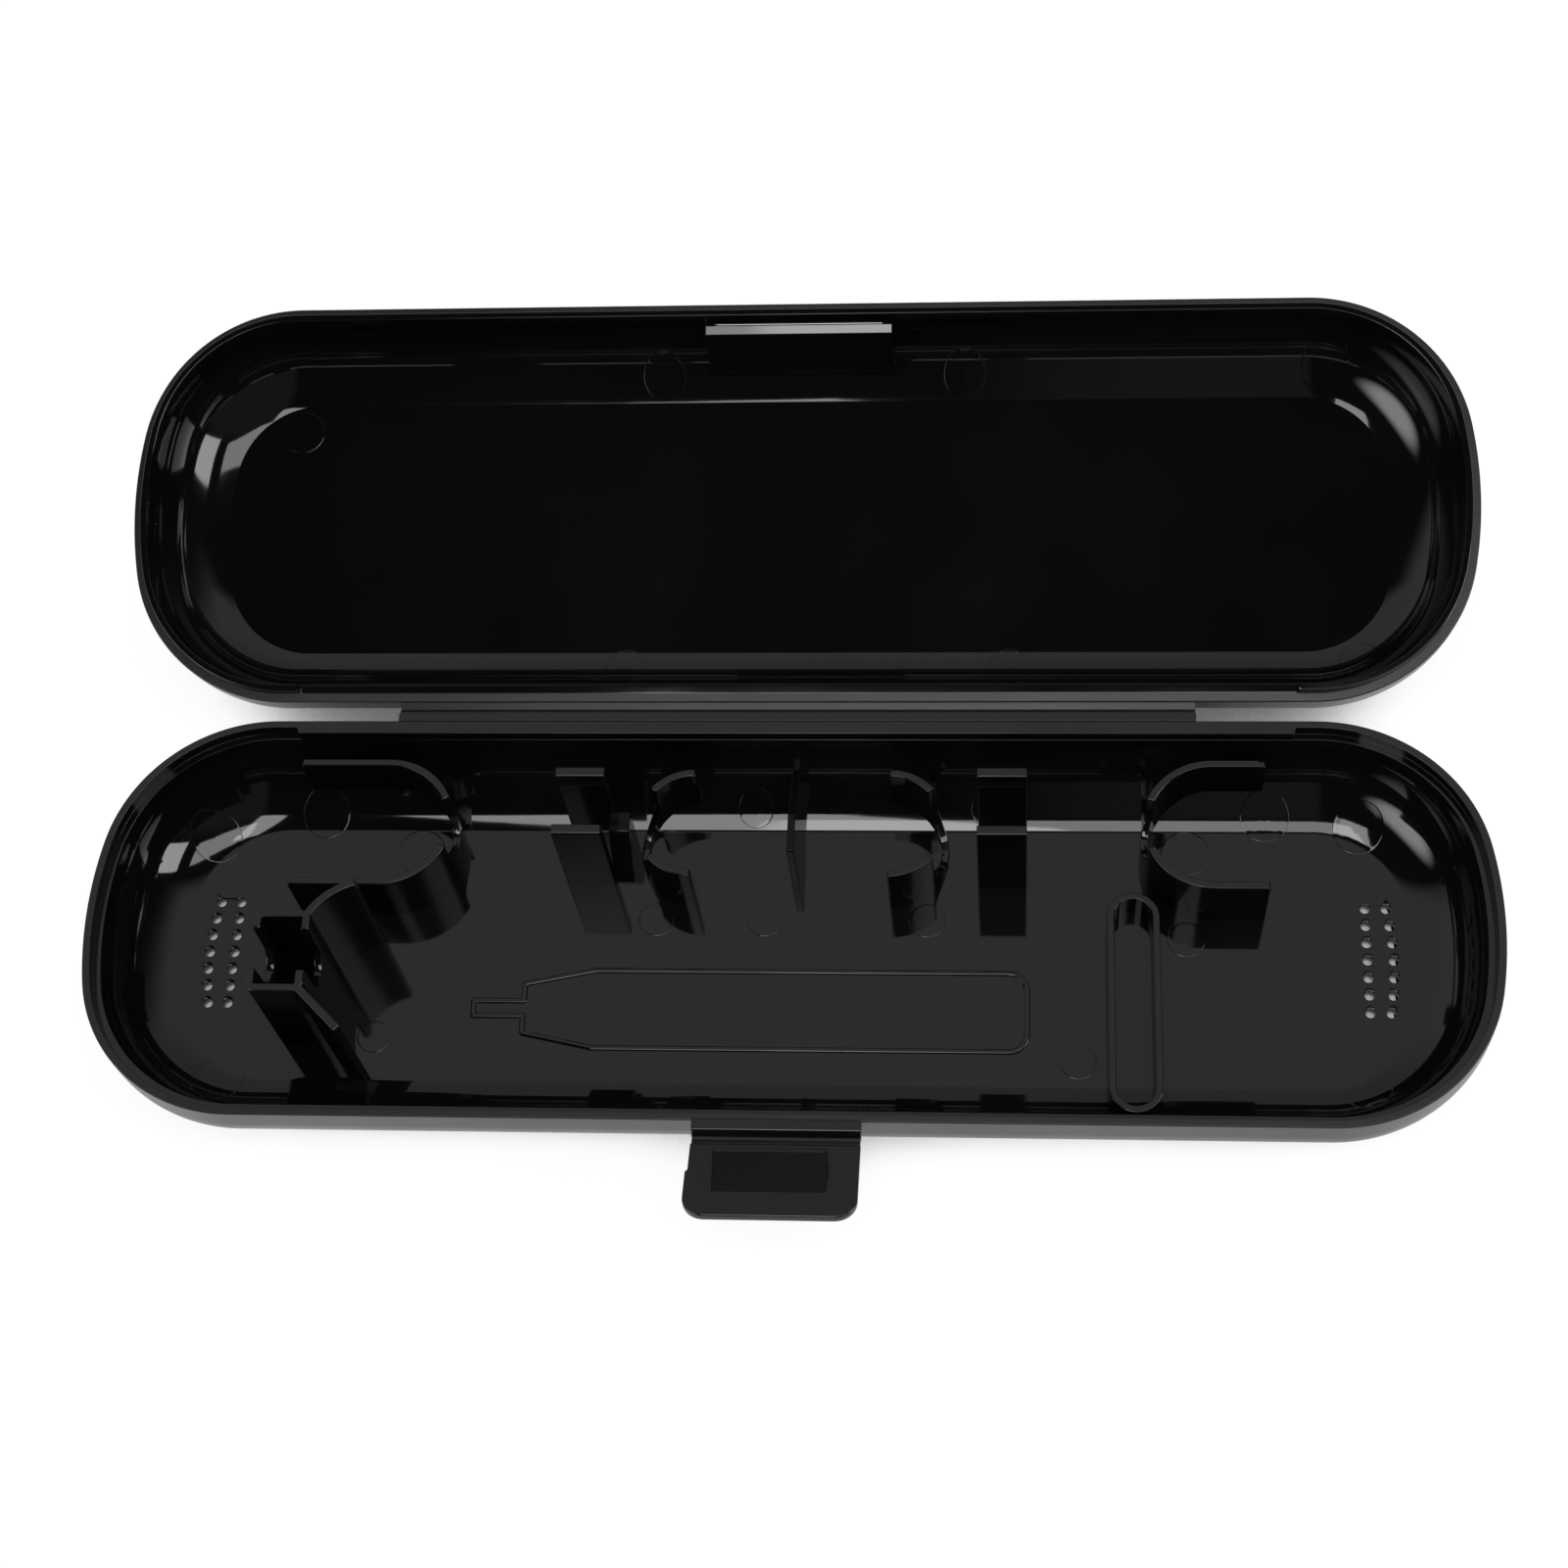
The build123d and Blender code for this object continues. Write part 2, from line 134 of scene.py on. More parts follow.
def makePiece(name, points, faces, material):
    # points in millimetres, faces as lists of point numbers; doubles are merged and faces turned outwards
    mesh = bpy.data.meshes.new(name)
    mesh.from_pydata((np.asarray(points).reshape(-1, 3) * mm).tolist(), [], faces)
    piece = bpy.data.objects.new(name, mesh)
    bpy.context.scene.collection.objects.link(piece)
    shape = bmesh.new()
    shape.from_mesh(mesh)
    bmesh.ops.remove_doubles(shape, verts=shape.verts, dist=shading["mergeDistance"])
    bmesh.ops.dissolve_degenerate(shape, edges=shape.edges, dist=shading["mergeDistance"])
    bmesh.ops.recalc_face_normals(shape, faces=shape.faces)
    shape.to_mesh(mesh)
    shape.free()
    smoothPiece(piece)
    piece.data.materials.append(material)
    return piece


def smoothPiece(piece):
    # smooth shading that stays flat on flat faces: normals are weighted by face area
    piece.data.shade_smooth()
    piece.data.set_sharp_from_angle(angle=math.radians(shading["sharpAngle"]))
    weigh = piece.modifiers.new("weightedNormals", "WEIGHTED_NORMAL")
    weigh.keep_sharp = True


def settle(piece, *nodes, body="root", slot="case_gloss_black"):
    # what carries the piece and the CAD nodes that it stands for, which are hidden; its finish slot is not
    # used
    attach(piece, body)
    if nodes:
        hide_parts(*nodes)
    return piece


def paintWhere(piece, material, test):
    # second finish on the faces whose centre and normal pass a test
    piece.data.materials.append(material)
    count = len(piece.data.polygons)
    centers, normals = np.empty(count * 3), np.empty(count * 3)
    piece.data.polygons.foreach_get("center", centers)
    piece.data.polygons.foreach_get("normal", normals)
    chosen = test(centers.reshape(-1, 3) / mm, normals.reshape(-1, 3))
    piece.data.polygons.foreach_set("material_index", chosen.astype(np.int32))


def facesUp(centers, normals):
    # tops of the walls and posts: normals that point up more than sideways
    return normals[:, 2] > 0.5


def edgeRows(edge, steps=3):
    # quarter round along an edge: how far in from the side, and how far down from the end
    angle = np.linspace(0, math.pi / 2, steps + 1)
    return edge * (1 - np.sin(angle)), edge * (1 - np.cos(angle))


def slabPoints(loop, low, high, edge):
    # closed loop stacked from low to high, drawn in by a quarter round at both ends
    loop = np.asarray(loop, float)
    x, y = loop[:, 0], loop[:, 1]
    outward = -leftNormals(loop, closed=True) * np.sign(np.sum(x * np.roll(y, -1) - y * np.roll(x, -1)))
    inset, rise = edgeRows(edge)
    insets = np.concatenate([inset, inset[::-1]])
    levels = np.concatenate([low + rise, high - rise[::-1]])
    u = x[None] - insets[:, None] * outward[None, :, 0]
    v = y[None] - insets[:, None] * outward[None, :, 1]
    w = np.broadcast_to(levels[:, None], u.shape)
    rows, count = u.shape
    faces = gridFaces(rows, count, wrapColumns=True)
    faces += [list(range(count)), list(range((rows - 1) * count, rows * count))]
    return u, v, w, faces


def barPiece(name, side, startX, endX, edge, material, place=None):
    # side view in (y, z) carried along X, then put in its place
    y, z, x, faces = slabPoints(side, startX, endX, edge)
    points = np.stack([x, y, z], -1)
    return makePiece(name, place(points) if place else points, faces, material)


# linear colour, least and most roughness, height and size of the waves, height of the grain, and shine
finishes = {
    "caseGlossBlack": dict(color=(0.0026, 0.0026, 0.0027), rough=(0.035, 0.075), wave=0.016, waveSize=9.0,
                           grain=0.0, shine=0.5),
    # painted shade: shine lower than real plastic, so its reflections are dimmer and the walls, posts and
    # lug that carry it read darker
    "paintedShadeBlack": dict(color=(0.0026, 0.0026, 0.0027), rough=(0.11, 0.17), wave=0.008, waveSize=6.0,
                         grain=0.0, shine=0.15),
    "outerSatinBlack": dict(color=(0.0040, 0.0040, 0.0041), rough=(0.30, 0.40), wave=0.006, waveSize=12.0,
                            grain=0.0012, shine=0.5),
    "latchSatinBlack": dict(color=(0.0036, 0.0036, 0.0037), rough=(0.10, 0.15), wave=0.006, waveSize=5.0,
                            grain=0.0010, shine=0.5),
    "hingeSatinBlack": dict(color=(0.0040, 0.0040, 0.0041), rough=(0.26, 0.36), wave=0.008, waveSize=4.0,
                            grain=0.0012, shine=0.5),
    # painted shade: shine far lower than real plastic, so the hook rib's ramp and sides read dark
    "hookPaintedShadeBlack": dict(color=(0.0030, 0.0030, 0.0031), rough=(0.26, 0.34), wave=0.006, waveSize=5.0,
                           grain=0.0, shine=0.045),
}
# slow change of sheen and tint on every finish, and how fine the grain is
mottle = dict(cloudScale=38.0, cloudFrom=0.3, cloudTo=0.7, tintAt=(0.35, 0.65), tint=(0.88, 1.12),
              grainScale=4500.0)


def addNode(nodes, kind, values):
    # new shader node with some of its sockets set
    node = nodes.new(kind)
    for name, value in values.items():
        node.inputs[name].default_value = value
    return node


def plasticFinish(name, color, rough, wave, waveSize, grain, shine):
    # moulded black plastic: long shallow waves, fine grain and a sheen that varies a little
    material = bpy.data.materials.new(name)
    material.use_nodes = True
    nodes, links = material.node_tree.nodes, material.node_tree.links
    shader = nodes["Principled BSDF"]
    shader.inputs["IOR"].default_value = 1.5
    shader.inputs["Specular IOR Level"].default_value = shine
    place = nodes.new("ShaderNodeTexCoord")

    def noise(scale, detail):
        # cloudy pattern on the piece's own place
        texture = addNode(nodes, "ShaderNodeTexNoise", {"Scale": scale, "Detail": detail})
        links.new(place.outputs["Object"], texture.inputs["Vector"])
        return texture.outputs["Fac"]

    def bump(height, distance, normal=None):
        # tilts the normal along the slope of a height of so many millimetres
        bend = addNode(nodes, "ShaderNodeBump", {"Strength": 1.0, "Distance": distance * mm})
        links.new(height, bend.inputs["Height"])
        if normal is not None:
            links.new(normal, bend.inputs["Normal"])
        return bend.outputs["Normal"]

    cloud = noise(mottle["cloudScale"], 3.0)  # slow change of sheen
    sheen = addNode(nodes, "ShaderNodeMapRange", {
        "From Min": mottle["cloudFrom"], "From Max": mottle["cloudTo"],
        "To Min": rough[0], "To Max": rough[1]})
    links.new(cloud, sheen.inputs["Value"])
    links.new(sheen.outputs["Result"], shader.inputs["Roughness"])
    tint = nodes.new("ShaderNodeValToRGB")  # faint mottle of the pigment
    for element, position, share in zip(tint.color_ramp.elements, mottle["tintAt"], mottle["tint"]):
        element.position = position
        element.color = (*[share * part for part in color], 1)
    links.new(cloud, tint.inputs["Fac"])
    links.new(tint.outputs["Color"], shader.inputs["Base Color"])
    normal = bump(noise(1 / (waveSize * mm), 1.0), wave)  # waves left by cooling
    if grain:
        normal = bump(noise(mottle["grainScale"], 2.0), grain, normal)  # fine texture of a satin mould
    links.new(normal, shader.inputs["Normal"])
    return material


glossBlack, paintedShadeBlack, outerBlack, latchBlack, hingeBlack, hookShadeBlack = [
    plasticFinish(name, **look) for name, look in finishes.items()]
print("finishes made")


trayHigh = np.array(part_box("base_tray")[1]) / mm
outline = dict(halfLength=trayHigh[0], halfWidth=trayHigh[1], cornerRadius=25.6, endRadius=67.0)
arcCenterX = outline["halfLength"] - outline["endRadius"]
cornerY = outline["halfWidth"] - outline["cornerRadius"]
centerGap = outline["endRadius"] - outline["cornerRadius"]
cornerX = arcCenterX + math.sqrt(centerGap**2 - cornerY**2)
joinAngle = math.atan2(cornerY, cornerX - arcCenterX)


def outlineStations(sideMarks, endCount=17, cornerCount=34, sideCount=44):
    # a quarter of the outline: end arc, corner arc, straight side; mirrored into the other three quarters
    endTurn = np.linspace(0, joinAngle, endCount, endpoint=False)
    cornerTurn = np.linspace(joinAngle, math.pi / 2, cornerCount)
    side = np.unique(np.concatenate([np.linspace(0, cornerX, sideCount)[:-1], sideMarks]))[::-1]
    x = np.concatenate([arcCenterX + outline["endRadius"] * np.cos(endTurn),
                        cornerX + outline["cornerRadius"] * np.cos(cornerTurn), side])
    y = np.concatenate([outline["endRadius"] * np.sin(endTurn),
                        cornerY + outline["cornerRadius"] * np.sin(cornerTurn),
                        np.full(len(side), outline["halfWidth"])])
    normalX = np.concatenate([np.cos(endTurn), np.cos(cornerTurn), np.zeros(len(side))])
    normalY = np.concatenate([np.sin(endTurn), np.sin(cornerTurn), np.ones(len(side))])
    quarter = np.stack([x, y, normalX, normalY])
    backHalf = np.concatenate([quarter, (quarter * np.array([[-1], [1], [-1], [1]]))[:, -2::-1]], 1)
    frontHalf = (backHalf * np.array([[1], [-1], [1], [-1]]))[:, -2:0:-1]
    return np.concatenate([backHalf, frontHalf], 1)


def stationsWithGap(halfGap, blend):
    # the outline's stations, and a share that is 0 along a gap on the hinge side and 1 elsewhere
    stations = outlineStations(halfGap + blend * np.array([-1, 0, 1]))
    x, y = stations[:2]
    reach = (np.abs(x) - halfGap + blend) / (2 * blend)
    return stations, np.where(y > 0, np.clip(reach, 0, 1), 1)


def insetAt(x, y):
    # distance inwards from the outline: from a side, a corner's centre or an end's centre
    x, y = np.abs(x), np.abs(y)
    fromSide = outline["halfWidth"] - y
    fromCorner = outline["cornerRadius"] - np.hypot(x - cornerX, y - cornerY)
    fromEnd = outline["endRadius"] - np.hypot(x - arcCenterX, y)
    inEnd = (x > arcCenterX) & (np.arctan2(y, np.maximum(x - arcCenterX, 1e-9)) < joinAngle)
    inCorner = (x > cornerX) & (y > cornerY) & ~inEnd
    return np.where(inEnd, fromEnd, np.where(inCorner, fromCorner, fromSide))


def sweptRim(stations, inset, height):
    # profile of (inset, height) carried round the outline: point - outward normal * inset
    x, y, normalX, normalY = stations
    px = x[None] - normalX[None] * inset
    py = y[None] - normalY[None] * inset
    return np.stack([px, py, np.broadcast_to(height, px.shape)], -1)


# round foot of the walls inside: radius, slope in degrees where it meets the floor, step of the slope, cap
cavity = dict(filletRadius=12.1, creaseSlope=15.0, slopeStep=3.2, capBeyond=2.0)
creaseTurn = math.radians(cavity["creaseSlope"])
filletRun = cavity["filletRadius"] * (1 - math.sin(creaseTurn))


def filletHeight(inset, wall, blend=0.0):
    # height above the flat floor: a small blend at the crease, then one arc out to the wall
    # arc: height = radius * (cos of the crease slope - sqrt(1 - (sin of the crease slope + run / radius)^2))
    radius = cavity["filletRadius"]
    out = np.clip(wall + filletRun - inset, -20, filletRun)
    share = math.sin(creaseTurn) + np.clip(out, 0, None) / radius
    lift = blend * (1 - math.cos(creaseTurn))
    arc = lift + radius * (math.cos(creaseTurn) - np.sqrt(np.maximum(1 - share**2, 0)))
    near = np.clip(out + blend * math.sin(creaseTurn), 0, None)
    small = blend - np.sqrt(np.maximum(blend**2 - near**2, 0))
    return np.where(out > 0, arc, small)


def filletProfile(wall, blend=0.0):
    # (inset, height) from the wall down the round foot to the flat floor, by slope angle
    count = int((90 - cavity["creaseSlope"]) / cavity["slopeStep"]) + 2
    slope = np.linspace(math.pi / 2, creaseTurn, count)
    out = cavity["filletRadius"] * (np.sin(slope) - math.sin(creaseTurn))
    if blend:
        turn = creaseTurn * np.array([0.75, 0.5, 0.25, 0])
        out = np.concatenate([out, blend * (np.sin(turn) - math.sin(creaseTurn))])
    inset = wall + filletRun - out
    height = filletHeight(inset, wall, blend)
    height[-1] = 0
    foot = [[wall + filletRun + cavity["capBeyond"], 0]]
    return np.concatenate([np.stack([inset, height], 1), foot])


def sharpenCrease(piece, test):
    # keeps a crisp line where the round foot meets the flat floor: edges with both ends on it
    mesh = piece.data
    places = np.empty(len(mesh.vertices) * 3)
    mesh.vertices.foreach_get("co", places)
    onCrease = test(places.reshape(-1, 3) / mm)
    ends = np.empty(len(mesh.edges) * 2, int)
    mesh.edges.foreach_get("vertices", ends)
    sharp = mesh.attributes["sharp_edge"]
    values = np.empty(len(mesh.edges), bool)
    sharp.data.foreach_get("value", values)
    sharp.data.foreach_set("value", values | onCrease[ends.reshape(-1, 2)].all(1))


pinMark = dict(
    lift=0.032, sides=56, rimRun=0.4, topRings=(0, 0.2, 0.4, 0.55, 0.7, 0.8, 0.87),
    # rounded edge: distance in from the rim and drop below the top
    edge=((0.30, 0.0), (0.22, 0.002), (0.16, 0.008), (0.11, 0.020), (0.07, 0.045), (0.04, 0.090),
          (0.02, 0.2)),
)


def markDiscs(marks, surface):
    # flat round plates that follow a surface: lifted inside, falling off over a rounded edge, closed below
    angle = np.linspace(0, 2 * math.pi, pinMark["sides"], endpoint=False)
    flat = np.array(pinMark["topRings"])
    fall, drop = np.array(pinMark["edge"]).T
    rise = np.concatenate([np.full(len(flat), pinMark["lift"]), pinMark["lift"] - drop])[:, None]
    grids = []
    for x, y, radius in marks:
        rings = np.concatenate([flat * (radius - pinMark["rimRun"]), radius - fall])[:, None]
        px, py = x + rings * np.cos(angle), y + rings * np.sin(angle)
        top = surfaceOffset(px, py, rise, surface)
        under = surfaceOffset(px[:-1], py[:-1], rise[-1:], surface)[::-1]
        grids.append(np.concatenate([top, under]))
    rows, columns = grids[0].shape[:2]
    faces = [face for number in range(len(marks))
             for face in gridFaces(rows, columns, wrapColumns=True, start=number * rows * columns)]
    return np.concatenate(grids).reshape(-1, 3), faces


def surfaceOffset(x, y, lift, surface):
    # point on a height surface, moved along its normal (-dh/dx, -dh/dy, 1)
    step = 0.02
    height = surface(x, y)
    slopeX = (surface(x + step, y) - surface(x - step, y)) / (2 * step)
    slopeY = (surface(x, y + step) - surface(x, y - step)) / (2 * step)
    normal = unit(np.stack([-slopeX, -slopeY, np.ones_like(height)], -1))
    return np.stack([x, y, height], -1) + normal * np.broadcast_to(lift, height.shape)[..., None]


tray = dict(
    floor=1.6, wall=2.35, creaseBlend=2.2, lip=1.2, rebateDepth=2.0, hingeSideLip=2.27, rebateGap=78.0,
    gapBlend=0.15, outsideFillet=13.5, undersideInset=14.0, rimRound=0.22, stepRound=0.12, rebateRound=0.05,
    wallRound=0.03, wallDrop=3.2, outlineStep=4.5, satinBelow=0.3, satinFacing=-0.02,
    ventRadius=0.75, ventPitch=2.88, ventsPerColumn=7, ventCenter=(0.4, -0.2), innerVents=18.8,
    outerVents=14.83, outerVentBow=47.6, ventRound=0.14, ventSides=20,
    # faint round marks on the floor: x, y, radius
    pinMarks=[(-21.15, 5.9, 2.9), (-4.0, 6.0, 2.9), (44.8, -17.2, 2.9), (61.6, 3.1, 3.0), (61.7, 17.7, 3.9),
              (-59.8, 17.5, 3.9), (-64.3, -14.3, 2.7), (-87.9, -22.0, 4.0), (87.7, -20.9, 4.0),
              (-75.8, 23.7, 3.9), (74.2, 23.65, 3.9), (88.6, 21.65, 4.0), (-93.3, 19.3, 4.0),
              (31.1, 24.7, 2.9), (-6.0, 24.6, 2.9), (21.5, 6.0, 2.9)],
)
rimZ = trayHigh[2]


def trayFloorHeight(x, y):
    # flat floor plus the round foot near the walls
    return tray["floor"] + filletHeight(insetAt(x, y), tray["wall"], tray["creaseBlend"])


def trayProfile(lip):
    # (inset, height) from the middle of the underside over the rim and its rebate down to the flat floor
    outer = roundCorners(
        [(tray["undersideInset"], 0), (0, 0), (0, rimZ), (lip, rimZ), (lip, rimZ - tray["rebateDepth"]),
         (tray["wall"], rimZ - tray["rebateDepth"]), (tray["wall"], rimZ - tray["wallDrop"])],
        [0, tray["outsideFillet"], tray["rimRound"], tray["stepRound"], tray["rebateRound"],
         tray["wallRound"], 0], stepAngle=tray["outlineStep"])
    inner = filletProfile(tray["wall"], tray["creaseBlend"])
    return np.concatenate([outer, inner + [0, tray["floor"]]])


def ventPlaces():
    # a straight inner column and a bowed outer column at each end
    along = (np.arange(tray["ventsPerColumn"]) - (tray["ventsPerColumn"] - 1) / 2) * tray["ventPitch"]
    bow = tray["outerVentBow"] - np.sqrt(tray["outerVentBow"]**2 - along**2)
    inner = outline["halfLength"] - tray["innerVents"] + 0 * along
    outer = outline["halfLength"] - tray["outerVents"] - bow
    x = np.concatenate([side * part for side in (-1, 1) for part in (inner, outer)]) + tray["ventCenter"][0]
    return np.stack([x, np.tile(along, 4) + tray["ventCenter"][1]], 1)


def buildTray():
    # profile carried round the outline; along the hinge there is no rebate: the lip is as wide as the wall
    stations, gate = stationsWithGap(tray["rebateGap"], tray["gapBlend"])
    rebated, plain = trayProfile(tray["lip"]), trayProfile(tray["hingeSideLip"])
    profile = plain[:, None] + gate[None, :, None] * (rebated - plain)[:, None]
    shell = sweptRim(stations, profile[..., 0], profile[..., 1])
    rows, columns = shell.shape[:2]
    faces = gridFaces(rows, columns, wrapColumns=True)

    # air holes: the radius opens in a quarter round at both faces of the floor
    angle = np.linspace(0, 2 * math.pi, tray["ventSides"], endpoint=False)
    flare, drop = edgeRows(tray["ventRound"], 2)
    radii = tray["ventRadius"] + np.concatenate([drop[::-1], drop])
    levels = np.concatenate([tray["floor"] - flare[::-1], flare])
    places = ventPlaces()[:, :, None, None]
    holeX = places[:, 0] + radii[None, :, None] * np.cos(angle)
    holeY = places[:, 1] + radii[None, :, None] * np.sin(angle)
    holes = np.stack([holeX, holeY, np.broadcast_to(levels[None, :, None], holeX.shape)], -1)
    points = np.concatenate([shell.reshape(-1, 3), holes.reshape(-1, 3)])
    sides = len(angle)
    starts = [rows * columns + number * len(levels) * sides for number in range(len(places))]
    for start in starts:
        faces += gridFaces(len(levels), sides, wrapColumns=True, start=start)

    # flat floor and flat underside are filled between the swept wall and the rims of the holes
    lastRow = (len(levels) - 1) * sides
    upperRims = [loopFrom(start, sides) for start in starts]
    lowerRims = [loopFrom(start + lastRow, sides) for start in starts]
    faces += filledFaces(points, [loopFrom((rows - 1) * columns, columns)] + upperRims)
    faces += filledFaces(points, [loopFrom(0, columns)] + lowerRims)
    return points, faces


def loopFrom(first, count):
    # neighbouring point numbers of one closed row
    return list(range(first, first + count))


def filledFaces(points, loops):
    # triangles between an outer loop and the holes in it, all in one flat plane
    patch = bmesh.new()
    numbers = [number for loop in loops for number in loop]
    made = {number: patch.verts.new(points[number]) for number in numbers}
    pairs = [pair for loop in loops for pair in zip(loop, loop[1:] + loop[:1])]
    edges = [patch.edges.new((made[a], made[b])) for a, b in pairs]
    patch.verts.index_update()
    back = {vertex: number for number, vertex in made.items()}
    result = bmesh.ops.triangle_fill(patch, use_beauty=True, use_dissolve=False, edges=edges)
    made = [part for part in result["geom"] if isinstance(part, bmesh.types.BMFace)]
    faces = [[back[vertex] for vertex in face.verts] for face in made]
    patch.free()
    return faces


def outsideOfTray(centers, normals):
    # satin outside: nearer to the outline than the lip is wide, or low down, or facing down
    onSide = insetAt(centers[:, 0], centers[:, 1]) < tray["lip"]
    return onSide | (centers[:, 2] < tray["satinBelow"]) | (normals[:, 2] < tray["satinFacing"])


trayShell = makePiece("tray_shell", *buildTray(), glossBlack)
paintWhere(trayShell, outerBlack, outsideOfTray)
settle(trayShell, "base_tray")
settle(makePiece("tray_pin_marks", *markDiscs(tray["pinMarks"], trayFloorHeight), glossBlack))
print("tray made:", len(trayShell.data.polygons), "faces")


holders = dict(height=11.8, wall=1.2, rowY=17.35, topRound=0.45, notchLean=0.22, notchTopRound=0.3,
               notchRound=0.97, edge=0.16, bury=0.4, endBury=0.2, leastHeight=0.1, cornerStep=15,
               lineStep=0.7, bendPoints=45)
floorZ = tray["floor"]
holderTop = floorZ + holders["height"]


def standingWall(route, top, radii, thickness, node, closed=False):
    # a wall follows a route in plan; its upper line is drawn in (distance along, height) and edged with a
    # quarter round; its foot follows the tray floor and reaches a little into it
    route = np.asarray(route, float)
    if closed:
        route = np.concatenate([route, route[:1]])
    run = lengthAlong(route)
    side = leftNormals(route)
    if closed:
        side[0] = side[-1] = unit(side[0] + side[-1])
    total = run[-1]
    if not closed:
        ends = trayFloorHeight(*route[[0, -1]].T) - holders["endBury"]
        top = [(0, ends[0])] + list(top) + [(total, ends[1])]
        radii = [0] + list(radii) + [0]
    line = densify(roundCorners(top, radii, stepAngle=holders["cornerStep"]), holders["lineStep"])
    if closed:
        line = line[:-1]
    outward = leftNormals(line)
    if closed:
        outward[0] = (0, 1)
    edge = holders["edge"]
    inset, sink = edgeRows(edge)
    insets = np.concatenate([[edge], inset, inset[::-1], [edge]])[:, None]
    half = thickness / 2
    across = np.concatenate([[-half], sink - half, (half - sink)[::-1], [half]])
    along = line[None, :, 0] - insets * outward[None, :, 0]
    height = line[None, :, 1] - insets * outward[None, :, 1]
    if closed:
        along = along % total
    place = [np.interp(along, run, route[:, k]) for k in (0, 1)]
    aside = unit(np.stack([np.interp(along, run, side[:, k]) for k in (0, 1)], -1))
    x = place[0] + across[:, None] * aside[..., 0]
    y = place[1] + across[:, None] * aside[..., 1]
    foot = np.minimum(trayFloorHeight(x, y) - holders["bury"], height - holders["leastHeight"])
    z = height.copy()
    z[[0, -1]] = foot[[0, -1]]
    rows, columns = x.shape
    faces = gridFaces(rows, columns, wrapRows=True, wrapColumns=closed)
    if not closed:
        firstEnd = np.arange(rows) * columns
        faces += [firstEnd.tolist(), (firstEnd + columns - 1).tolist()]
    # the sides take the low-shine black that paints shade on them; the tops keep the full gloss
    piece = makePiece(node + "_wall", np.stack([x, y, z], -1), faces, paintedShadeBlack)
    paintWhere(piece, glossBlack, facesUp)
    return settle(piece, node)


def arcRoute(start, middle, end, step):
    # arc through three points, taken as complex numbers: with w = (end - start) / (middle - start),
    # the centre is start - (start - middle) * (w - |w|^2) / (2i * imaginary part of w)
    a, b, c = [complex(*point) for point in (start, middle, end)]
    w = (c - a) / (b - a)
    center = a - (a - b) * (w - abs(w)**2) / (2j * w.imag)
    radius = abs(a - center)
    first, mid, last = [np.angle(point - center) for point in (a, b, c)]
    turn = (last - first) % (2 * math.pi)
    if (mid - first) % (2 * math.pi) > turn:
        turn -= 2 * math.pi
    angle = first + turn * np.linspace(0, 1, int(abs(math.degrees(turn)) / step) + 3)
    return np.stack([center.real + radius * np.cos(angle), center.imag + radius * np.sin(angle)], 1)


def densifyRoute(route, step):
    # more points along a closed route, by its running length
    closedRoute = np.concatenate([route, route[:1]])
    run = lengthAlong(closedRoute)
    wanted = np.unique(np.round(np.concatenate([run, np.arange(0, run[-1], step)]), 4))[:-1]
    return np.stack([np.interp(wanted, run, closedRoute[:, k]) for k in (0, 1)], 1)


def notchCorners(middle, halfWidth, bottom, topZ):
    # upright notch with a round bottom and slightly leaning sides
    lean, bottomRound = holders["notchLean"], halfWidth * holders["notchRound"]
    left, right = middle - halfWidth, middle + halfWidth
    corners = [(left - lean, topZ), (left, bottom), (right, bottom), (right + lean, topZ)]
    return corners, [holders["notchTopRound"], bottomRound, bottomRound, holders["notchTopRound"]]


def halfRound(centerX, side, radius):
    # half circle round (centerX, rowY), bulging towards side
    turn = np.linspace(-math.pi / 2, math.pi / 2, holders["bendPoints"])
    return np.stack([centerX + side * radius * np.cos(turn), holders["rowY"] + radius * np.sin(turn)], 1)


def notchedWall(node, route, radius, notchWidth, notchBottom):
    # one notch in the middle of a curved wall; half its chord becomes the arc radius * asin(half / radius)
    total = lengthAlong(route)[-1]
    halfWidth = radius * math.asin(notchWidth / 2 / radius)
    notch, radii = notchCorners(total / 2, halfWidth, floorZ + notchBottom, holderTop)
    top = [(0, holderTop)] + notch + [(total, holderTop)]
    radii = [holders["topRound"], *radii, holders["topRound"]]
    return standingWall(route, top, radii, holders["wall"], node)


hooks = dict(
    notch=dict(radius=10.3, notchWidth=7.5, notchBottom=4.5), armPoints=12,
    brush_hook_right=dict(side=1, endInset=33.7, arm=8.3),
    brush_hook_left=dict(side=-1, endInset=29.6, arm=14.3),
)


def brushHook(node, side, endInset, arm):
    # U shape: an arm, a half-round bend and an arm, with a notch in the bend
    radius = hooks["notch"]["radius"]
    endX = side * (outline["halfLength"] - endInset)
    bendX = endX - side * arm
    arms = np.linspace(endX, bendX, hooks["armPoints"])[:-1]
    low = np.stack([arms, np.full(len(arms), holders["rowY"] - radius)], 1)
    high = np.stack([arms[::-1], np.full(len(arms), holders["rowY"] + radius)], 1)
    return notchedWall(node, np.concatenate([low, halfRound(bendX, -side, radius), high]), **hooks["notch"])


for node in ("brush_hook_left", "brush_hook_right"):
    brushHook(node, **hooks[node])


cradles = dict(head_cradle_left=-14.75, head_cradle_right=15.65,
               notch=dict(radius=8.6, notchWidth=10.8, notchBottom=1.0))  # notched nearly down to the floor
for node in ("head_cradle_left", "head_cradle_right"):
    cradleRoute = halfRound(cradles[node], math.copysign(1, cradles[node]), cradles["notch"]["radius"])
    notchedWall(node, cradleRoute, **cradles["notch"])


